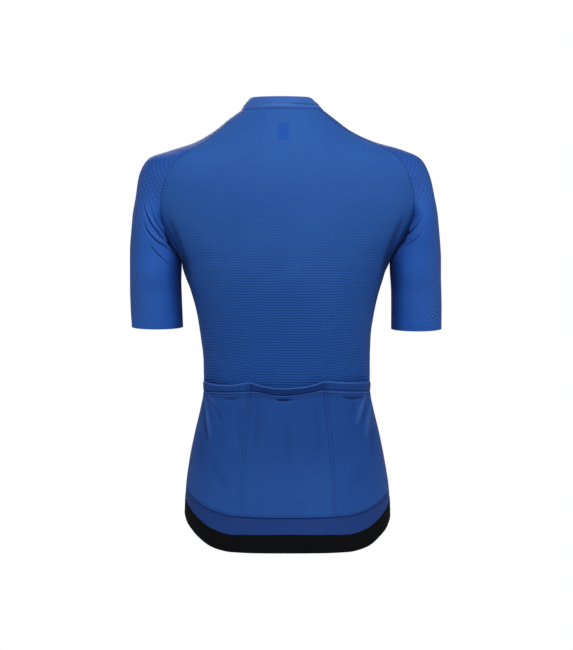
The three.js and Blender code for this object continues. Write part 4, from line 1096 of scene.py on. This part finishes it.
# Beside each divider the needles draw the cloth in, and leave a small ridge between their two rows.
needle_columns, ridge_columns = [], []
# The shader paints shade in the band's stitched grooves and beside the dividers, and a highlight on
# the ridges between, from these depths.
pocket_crease_shading = 1.7 * grooves
for side in (1, -1):
    middle = mix(*DIVIDERS[side], pocket_rows)
    off = (turn - middle) / DIVIDER_HALF
    ladder = 1 + 0.35 * np.sin(z * 2 * math.pi / 5.2 + side)
    ridge = 0.8 * ladder * bell(off, 0.5) - 0.3 * bell(np.abs(off) - 1.15, 0.4)
    pocket_grid[..., 1] += ridge * ease(down / 3.0)
    pocket_crease_shading -= 1.2 * ridge * ease(down / 3.0)
    column = int(np.argmin(np.abs(off[60])))
    ridge_columns.append(column)
    needle_columns += [column - 4] if side > 0 else [column - 5, column + 5]
pocket_measure = np.stack([run_along(pocket_grid, 1), -down], -1)
flat_pocket = pocket_grid
pocket_grid = creased(pocket_grid, BODY_AXIS, POCKET_FOLDS)
pocket_crease_shading += pressed_in(flat_pocket, pocket_grid, BODY_AXIS)
# Toward its sides the panel thins into the side seams.
side_share = ease((np.abs(turn) - POCKET_EDGE + 6) / 6)
pocket_grid = mix(pocket_grid, off_the_back(turn, z, 0.9), 0.8 * side_share[..., None])
pocket_panel = cloth_piece("pocket_cloth", pocket_grid, pocket_measure, CLOTH, BODY_AXIS,
    pocket_knit, pressed=pocket_crease_shading)
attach(pocket_panel, "garment")
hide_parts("pocket_panel")

# The hem's grip
# One strip of black woven elastic, about 25 mm tall, sewn round the hem from one side of the zip
# to the other.
GRIP_THICK = 1.3
GRIP_TALL = 25.0
GRIP_LAP = 1.2
GRIP_PROUD = 0.35
GRIP_RIPPLE = 0.35
HEM_HALF = 147.0
GRIP_BLACK = srgb(5, 6, 8)
GRIP_GREY = srgb(13, 14, 17)

grip_elastic, tree, shader, cloth, place = cloth_material("grip elastic", 0.02, 0.85, 0.1)
shader.inputs["Sheen Tint"].default_value = srgb(150, 152, 158)
knit, tone = knit_and_tone(tree, cloth, place, 1.7, 2.1, 0.35, 0.1, 0.6)
shade = calc(tree, "MULTIPLY_ADD", knit["Loops"], 0.5, times(tree, tone, 0.4))
dressed(tree, shader, blend(tree, shade, GRIP_BLACK, GRIP_GREY), knit["Height"], 0.00035)

zip_turn = math.degrees(math.asin(ZIP_HALF_GAP / HEM_HALF))
grip_turns = np.concatenate([np.linspace(-180 + zip_turn, -90, 100),
    np.linspace(-90, 90, 181)[1:-1], np.linspace(90, 180 - zip_turn, 100)])[None, :]
grip_rows = np.linspace(0, 1, 15)[:, None]
grip_z = mix(edge_at("grip", grip_turns) + GRIP_LAP, edge_at("hem", grip_turns), grip_rows)
grip_grid = body_round(grip_turns, grip_z)
round_hem = run_along(grip_grid[7])
grip_measure = np.stack(paired(round_hem[None, :], -GRIP_TALL * grip_rows), -1)
grip_out = grid_normals(grip_grid, BODY_AXIS)
ripple = GRIP_RIPPLE * np.sin(round_hem * 0.11) * np.sin(round_hem * 0.047 + 2)
grip_grid = grip_grid + grip_out * (GRIP_PROUD + ripple[None, :] * grip_rows**1.5)[..., None]
grip = cloth_piece("grip_band", grip_grid, grip_measure, GRIP_THICK, BODY_AXIS, grip_elastic)
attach(grip, "garment")
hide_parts("hem_grip")

# The size label
# A small blank label of thin film, bonded inside the back of the neck, with rounded corners.
LABEL_GLUE = 0.35
label_columns = np.linspace(-1, 1, 17)[None, :]
label_rows = np.linspace(1, -1, 25)[:, None]
label_x = LABEL["x"] + LABEL["wide"] / 2 * label_columns * np.sqrt(1 - 0.10 * label_rows**12)
label_z = LABEL["z"] + LABEL["tall"] / 2 * label_rows * np.sqrt(1 - 0.04 * label_columns**8)
turn_guess = np.linspace(-30, 30, 241)
label_turn = np.zeros_like(label_x)
for i in range(label_x.shape[0]):
    for j in range(label_x.shape[1]):
        row_x = body_round(turn_guess, label_z[i, j])[:, 0]
        label_turn[i, j] = np.interp(label_x[i, j], row_x, turn_guess)
label_grid = off_the_back(label_turn, label_z, -CLOTH - LABEL_GLUE)
label_measure = np.stack([label_x, label_z], -1)
label_film = dyed_material("label film", 0.0, 0.5, 0.4, srgb(36, 84, 178), srgb(30, 74, 164), 0.7,
    0.00005)
label = cloth_piece("label_patch", label_grid, label_measure, 0.5, BODY_AXIS, label_film)
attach(label, "garment")
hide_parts("neck_label")

# The seams
# Flat seams in thread, each stitch an arch that is made in rows: dark teal over the raglan seams,
# blue on the sides and the neck, black on the grip, navy and pale blue on the pockets.
THREADS = {"teal": (srgb(16, 84, 118), srgb(8, 62, 96)),
    "blue": (srgb(36, 84, 162), srgb(24, 66, 136)), "black": (srgb(11, 12, 15), srgb(7, 8, 10)),
    "navy": (srgb(20, 52, 112), srgb(12, 42, 96)), "pale": (srgb(44, 90, 162), srgb(30, 72, 142))}

tree, given, result = node_group("stitch row", "GeometryNodeTree",
    {"Path": "Geometry", "Pitch": 0.0024, "Length": 0.002, "Thread": 0.0003, "Rise": 0.0006,
    "Turn": 0.0, "Finish": "Material"}, {"Stitches": "Geometry"})
stitch_row = tree
curve = add_node(tree, "GeometryNodeMeshToCurve", {"Mesh": given["Path"]}).outputs[0]
resample = add_node(tree, "GeometryNodeResampleCurve", {"Curve": curve, "Length": given["Pitch"]},
    mode="LENGTH")
tangent = tree.nodes.new("GeometryNodeInputTangent").outputs[0]
outward = add_node(tree, "GeometryNodeInputNamedAttribute", {"Name": "out"},
    data_type="FLOAT_VECTOR").outputs[0]
facing = add_node(tree, "FunctionNodeAxesToRotation", {0: outward, 1: tangent})
facing.primary_axis = "Z"
facing.secondary_axis = "X"
twist = add_node(tree, "FunctionNodeAxisAngleToRotation",
    {"Axis": (0, 0, 1), "Angle": given["Turn"]}).outputs[0]
turned = add_node(tree, "FunctionNodeRotateRotation",
    {"Rotation": facing.outputs[0], "Rotate By": twist}, rotation_space="LOCAL").outputs[0]
SUNK = -0.0002
start, end = (add_node(tree, "ShaderNodeCombineXYZ",
    {0: times(tree, given["Length"], share), 2: SUNK}).outputs[0] for share in (-0.5, 0.5))
crest = add_node(tree, "ShaderNodeCombineXYZ", {2: given["Rise"]}).outputs[0]
arch = add_node(tree, "GeometryNodeCurveQuadraticBezier",
    {"Resolution": 4, "Start": start, "Middle": crest, "End": end}).outputs[0]
ring_line = add_node(tree, "GeometryNodeCurvePrimitiveCircle",
    {"Resolution": 5, "Radius": given["Thread"]}).outputs[0]
thread = add_node(tree, "GeometryNodeCurveToMesh",
    {"Curve": arch, "Profile Curve": ring_line, "Fill Caps": True}).outputs[0]
rows_of_arches = add_node(tree, "GeometryNodeInstanceOnPoints",
    {"Points": resample.outputs[0], "Instance": thread, "Rotation": turned}).outputs[0]
real = add_node(tree, "GeometryNodeRealizeInstances", {0: rows_of_arches}).outputs[0]
rounded = add_node(tree, "GeometryNodeSetShadeSmooth", {0: real}).outputs[0]
finished = add_node(tree, "GeometryNodeSetMaterial",
    {"Geometry": rounded, "Material": given["Finish"]}).outputs[0]
tree.links.new(finished, result[0])


def arches_along(name, paths, finish, **sizes):
    """One mesh of thread arches along paths. Each path is points and outward normals."""
    spots, lines, outs = [], [], []
    for points, normals in paths:
        first = len(spots)
        spots += [tuple(p) for p in points * 0.001]
        outs += [tuple(n) for n in normals]
        lines += [(first + k, first + k + 1) for k in range(len(points) - 1)]
    mesh = bpy.data.meshes.new(name + "_path")
    mesh.from_pydata(spots, lines, [])
    mesh.attributes.new("out", "FLOAT_VECTOR", "POINT").data.foreach_set("vector",
        np.array(outs, np.float32).reshape(-1))
    path = placed(name + "_path", mesh)
    maker = path.modifiers.new("stitches", "NODES")
    maker.node_group = stitch_row
    sockets = {item.name: item.identifier for item in stitch_row.interface.items_tree}
    maker[sockets["Finish"]] = finish
    for label_text, value in sizes.items():
        maker[sockets[label_text]] = value
    evaluated = path.evaluated_get(bpy.context.evaluated_depsgraph_get())
    made_mesh = bpy.data.meshes.new_from_object(evaluated)
    made_mesh.name = name
    path.modifiers.clear()
    bpy.data.objects.remove(path)
    return placed(name, made_mesh)


threads = {name: dyed_material(name + " thread", 0.05, 0.65, 0.16, colour, deep, 0.8, 0.0001)
    for name, (colour, deep) in THREADS.items()}

SIDE_SEAM_SHIFT = np.array([0, -0.4, 0])
back_out = grid_normals(back_grid, BODY_AXIS)
yoke, torso = slice(len(yoke_z)), slice(len(yoke_z), None)
raglans, side_seams = [], []
for side in (1, -1):
    edge = -1 if side > 0 else 0
    sleeve_grid, front_grid = sleeve_grids[side], front_grids[side]
    raglans.append(((back_grid[yoke, edge] + sleeve_grid[yoke, 0]) / 2, back_out[yoke, edge]))
    front_out = grid_normals(front_grid, BODY_AXIS)
    raglans.append(((front_grid[yoke, -1] + sleeve_grid[yoke, -1]) / 2, front_out[yoke, -1]))
    side_seams.append((back_grid[torso, edge] + SIDE_SEAM_SHIFT, back_out[torso, edge]))
neck_path = collar_point(collar_turns[2:-2], 0.0)
neck_out = grid_normals(collar_grid, COLLAR_AXIS)[-2, 2:-2]
raglan_stitches = arches_along("raglan_stitches", raglans, threads["teal"], Pitch=0.0019,
    Length=0.0021, Thread=0.00034, Rise=0.0007)
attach(raglan_stitches, "garment")

grip_out = grid_normals(grip_grid, BODY_AXIS)
blue_seams = arches_along("body_stitches", side_seams + [(neck_path, neck_out)], threads["blue"],
    Pitch=0.0024, Length=0.0022, Thread=0.00028, Rise=0.0006)
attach(blue_seams, "garment")

grip_stitches = arches_along("grip_stitches",
    [(grip_grid[1, 2:-2], grip_out[1, 2:-2]), (grip_grid[4, 2:-2], grip_out[4, 2:-2])],
    threads["black"], Pitch=0.003, Length=0.0024, Thread=0.00026, Rise=0.0006)
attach(grip_stitches, "garment")

pocket_out = grid_normals(pocket_grid, BODY_AXIS)
pocket_paths = []
for row in (first, second):
    picked = np.argmin(np.abs(z - row), axis=0)
    columns = np.arange(2, z.shape[1] - 2)
    pocket_paths.append((pocket_grid[picked[columns], columns],
        pocket_out[picked[columns], columns]))
for column in needle_columns + [1, -2]:
    pocket_paths.append((pocket_grid[2:-1, column], pocket_out[2:-1, column]))
pocket_paths.append((pocket_grid[-2, 2:-2], pocket_out[-2, 2:-2]))
pocket_stitches = arches_along("pocket_stitches", pocket_paths, threads["navy"], Pitch=0.0027,
    Length=0.0019, Thread=0.00026, Rise=0.0006)
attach(pocket_stitches, "garment")
divider_stitches = arches_along("divider_stitches",
    [(pocket_grid[3:-1, column], pocket_out[3:-1, column]) for column in ridge_columns],
    threads["pale"], Pitch=0.0028, Length=0.0022, Thread=0.00034, Rise=0.0007, Turn=math.pi / 2)
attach(divider_stitches, "garment")

# The zip
# Two woven tapes with a coil of nylon along the edge of each, closed to the top of the collar. The
# tapes are sewn behind the fronts' edges. The coils mesh below the slider and lie parted above it.
# The slider and its pull are dark enamelled metal.
ZIP_TAPE = 11.0
ZIP_DEPTH = 1.8
ZIP_FOOT = -556.5
COIL_OFF = 0.95
COIL_DEPTH = 1.4
COIL_LATE = 0.65
COILS_PART = 1.3
TAPE_THICK = 0.9
SLIDER_AT = 0.72


def zip_rows(offs):
    """The front's form beside the zip's middle: rows down from the top of the collar, a column for
    each distance from the middle, above 0 on the left."""
    neck = np.linspace(0.96, 0.05, 9)
    heights = np.concatenate([np.linspace(0, UNDERARM + 1, 70),
        np.linspace(UNDERARM - 1, ZIP_FOOT, 130)])
    columns = []
    for off in offs:
        side = 1 if off > 0 else -1
        parted = COILS_PART * ease((neck - SLIDER_AT) / 0.2) if abs(off) < 2 else 0 * neck
        angle = np.degrees(np.arcsin((abs(off) + parted) / COLLAR["half"]))
        upper = collar_point(side * (180 - angle), neck)
        s = middle_share(side, heights, abs(off))
        columns.append(np.concatenate([upper, body_point(side, -1, heights, s)]))
    return np.stack(columns, 1)


zip_tape, tree, shader, cloth, place = cloth_material("zip tape", 0.05, 0.7, 0.2)
knit, tone = knit_and_tone(tree, cloth, place, 0.7, 0.6, 0.5, 0.05, 0.6)
dressed(tree, shader, blend(tree, tone, srgb(32, 76, 150), srgb(22, 58, 124)), knit["Height"],
    0.0001)
zip_nylon = dyed_material("zip nylon", 0.0, 0.38, 0.5, srgb(28, 66, 138), srgb(20, 54, 118), 0.5,
    0.00005)

tape_offs = [0.5, 1.6, 3.2, 5.0, 7.0, 9.0, ZIP_TAPE]
zip_grid = zip_rows([-off for off in tape_offs[::-1]] + tape_offs)
zip_out = grid_normals(zip_grid, BODY_AXIS)
zip_grid = zip_grid - zip_out * ZIP_DEPTH
down_zip = run_along(zip_grid[:, 7])
for hand, columns in (("right", slice(0, 7)), ("left", slice(7, 14))):
    measure = np.stack(paired(np.array(tape_offs)[None, :], -down_zip[:, None]), -1)
    tape = cloth_piece("zip_tape_" + hand, zip_grid[:, columns], measure, TAPE_THICK, BODY_AXIS,
        zip_tape)
    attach(tape, "garment")

coils = []
for off, late in ((COIL_OFF, 0.0), (-COIL_OFF, COIL_LATE)):
    rows = zip_rows([off, 1.02 * off])
    out = zip_out[:, 7 if off > 0 else 6]
    path = rows[:, 0] - COIL_DEPTH * out
    run = (path[1] - path[0]) / np.linalg.norm(path[1] - path[0])
    path[0] = path[0] + late * run
    coils.append((path, out))
zip_coil = arches_along("zip_coil", coils, zip_nylon, Pitch=0.0013, Length=0.0026, Thread=0.00036,
    Rise=0.0031, Turn=math.pi / 2)
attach(zip_coil, "garment")
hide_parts("zip_chain")

enamel, tree, shader, _cloth, place = cloth_material("dark enamel", 0.0, 0.32, 0.5)
shader.inputs["Metallic"].default_value = 0.55
# Random wear of the enamel, in its colour and its roughness.
wear_and_hip_light = noise(tree, place, 900.0, 3.0)
tree.links.new(smooth_range(tree, wear_and_hip_light, 0.3, 0.7, 0.26, 0.42), shader.inputs["Roughness"])
dressed(tree, shader, blend(tree, wear_and_hip_light, srgb(30, 33, 39), srgb(52, 56, 64)), wear_and_hip_light, 0.00003)
for node in ("zip_slider", "zip_pull"):
    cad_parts[node].material_slots[0].material = enamel

# The stage
# A plain pale floor lies well under the jersey. The light is soft, and stronger from above.
FLOOR_Z = -0.95
FLOOR_HALF = 1.9

floor_mesh = bpy.data.meshes.new("floor")
floor_ends = ((-1, -1), (1, -1), (1, 1), (-1, 1))
corners = [(x * FLOOR_HALF, y * FLOOR_HALF, FLOOR_Z) for x, y in floor_ends]
floor_mesh.from_pydata(corners, [], [(0, 1, 2, 3)])
floor = placed("floor", floor_mesh)
floor_paint = bpy.data.materials.new("floor paint")
floor_paint.use_nodes = True
paint = floor_paint.node_tree.nodes["Principled BSDF"].inputs
paint["Base Color"].default_value = (0.82, 0.82, 0.82, 1)
paint["Roughness"].default_value = 0.9
floor_mesh.materials.append(floor_paint)

SKY_LIGHT = 0.17
world = bpy.data.worlds.new("studio")
world.use_nodes = True
bpy.context.scene.world = world
sky = world.node_tree
sky.nodes.clear()
seen = add_node(sky, "ShaderNodeLightPath").outputs["Is Camera Ray"]
lit = add_node(sky, "ShaderNodeBackground", {"Color": (1, 1, 1, 1), "Strength": SKY_LIGHT})
shown = add_node(sky, "ShaderNodeBackground", {"Color": (1, 1, 1, 1), "Strength": 1.0})
choice = add_node(sky, "ShaderNodeMixShader", {0: seen, 1: lit.outputs[0], 2: shown.outputs[0]})
add_node(sky, "ShaderNodeOutputWorld", {0: choice.outputs[0]})

# Each lamp: its name, where it is, what it faces, how large it is and its power.
LAMPS = [
    ("key lamp", (-0.3, 2.2, 3.0), (0, 0, -0.25), 1.5, 104),
    ("left lamp", (2.8, 1.1, 0.4), (0, 0, -0.3), 1.2, 9),
    ("right lamp", (-2.8, 1.3, 0.5), (0, 0, -0.3), 1.2, 11),
    ("low lamp", (0.3, 3.6, -0.3), (0, 0, -0.4), 1.4, 9),
    ("front lamp", (0.4, -3.0, 1.2), (0, 0, -0.3), 1.8, 40),
]
for name, spot, aim, size, power in LAMPS:
    light = bpy.data.lights.new(name, "AREA")
    light.shape = "SQUARE"
    light.size = size
    light.energy = power
    lamp = placed(name, light)
    lamp.location = spot
    away = [s - a for s, a in zip(spot, aim)]
    flat = math.hypot(away[0], away[1])
    lamp.rotation_euler = (math.atan2(flat, away[2]), 0, math.atan2(away[0], -away[1]))

bpy.context.scene.view_settings.view_transform = "Standard"
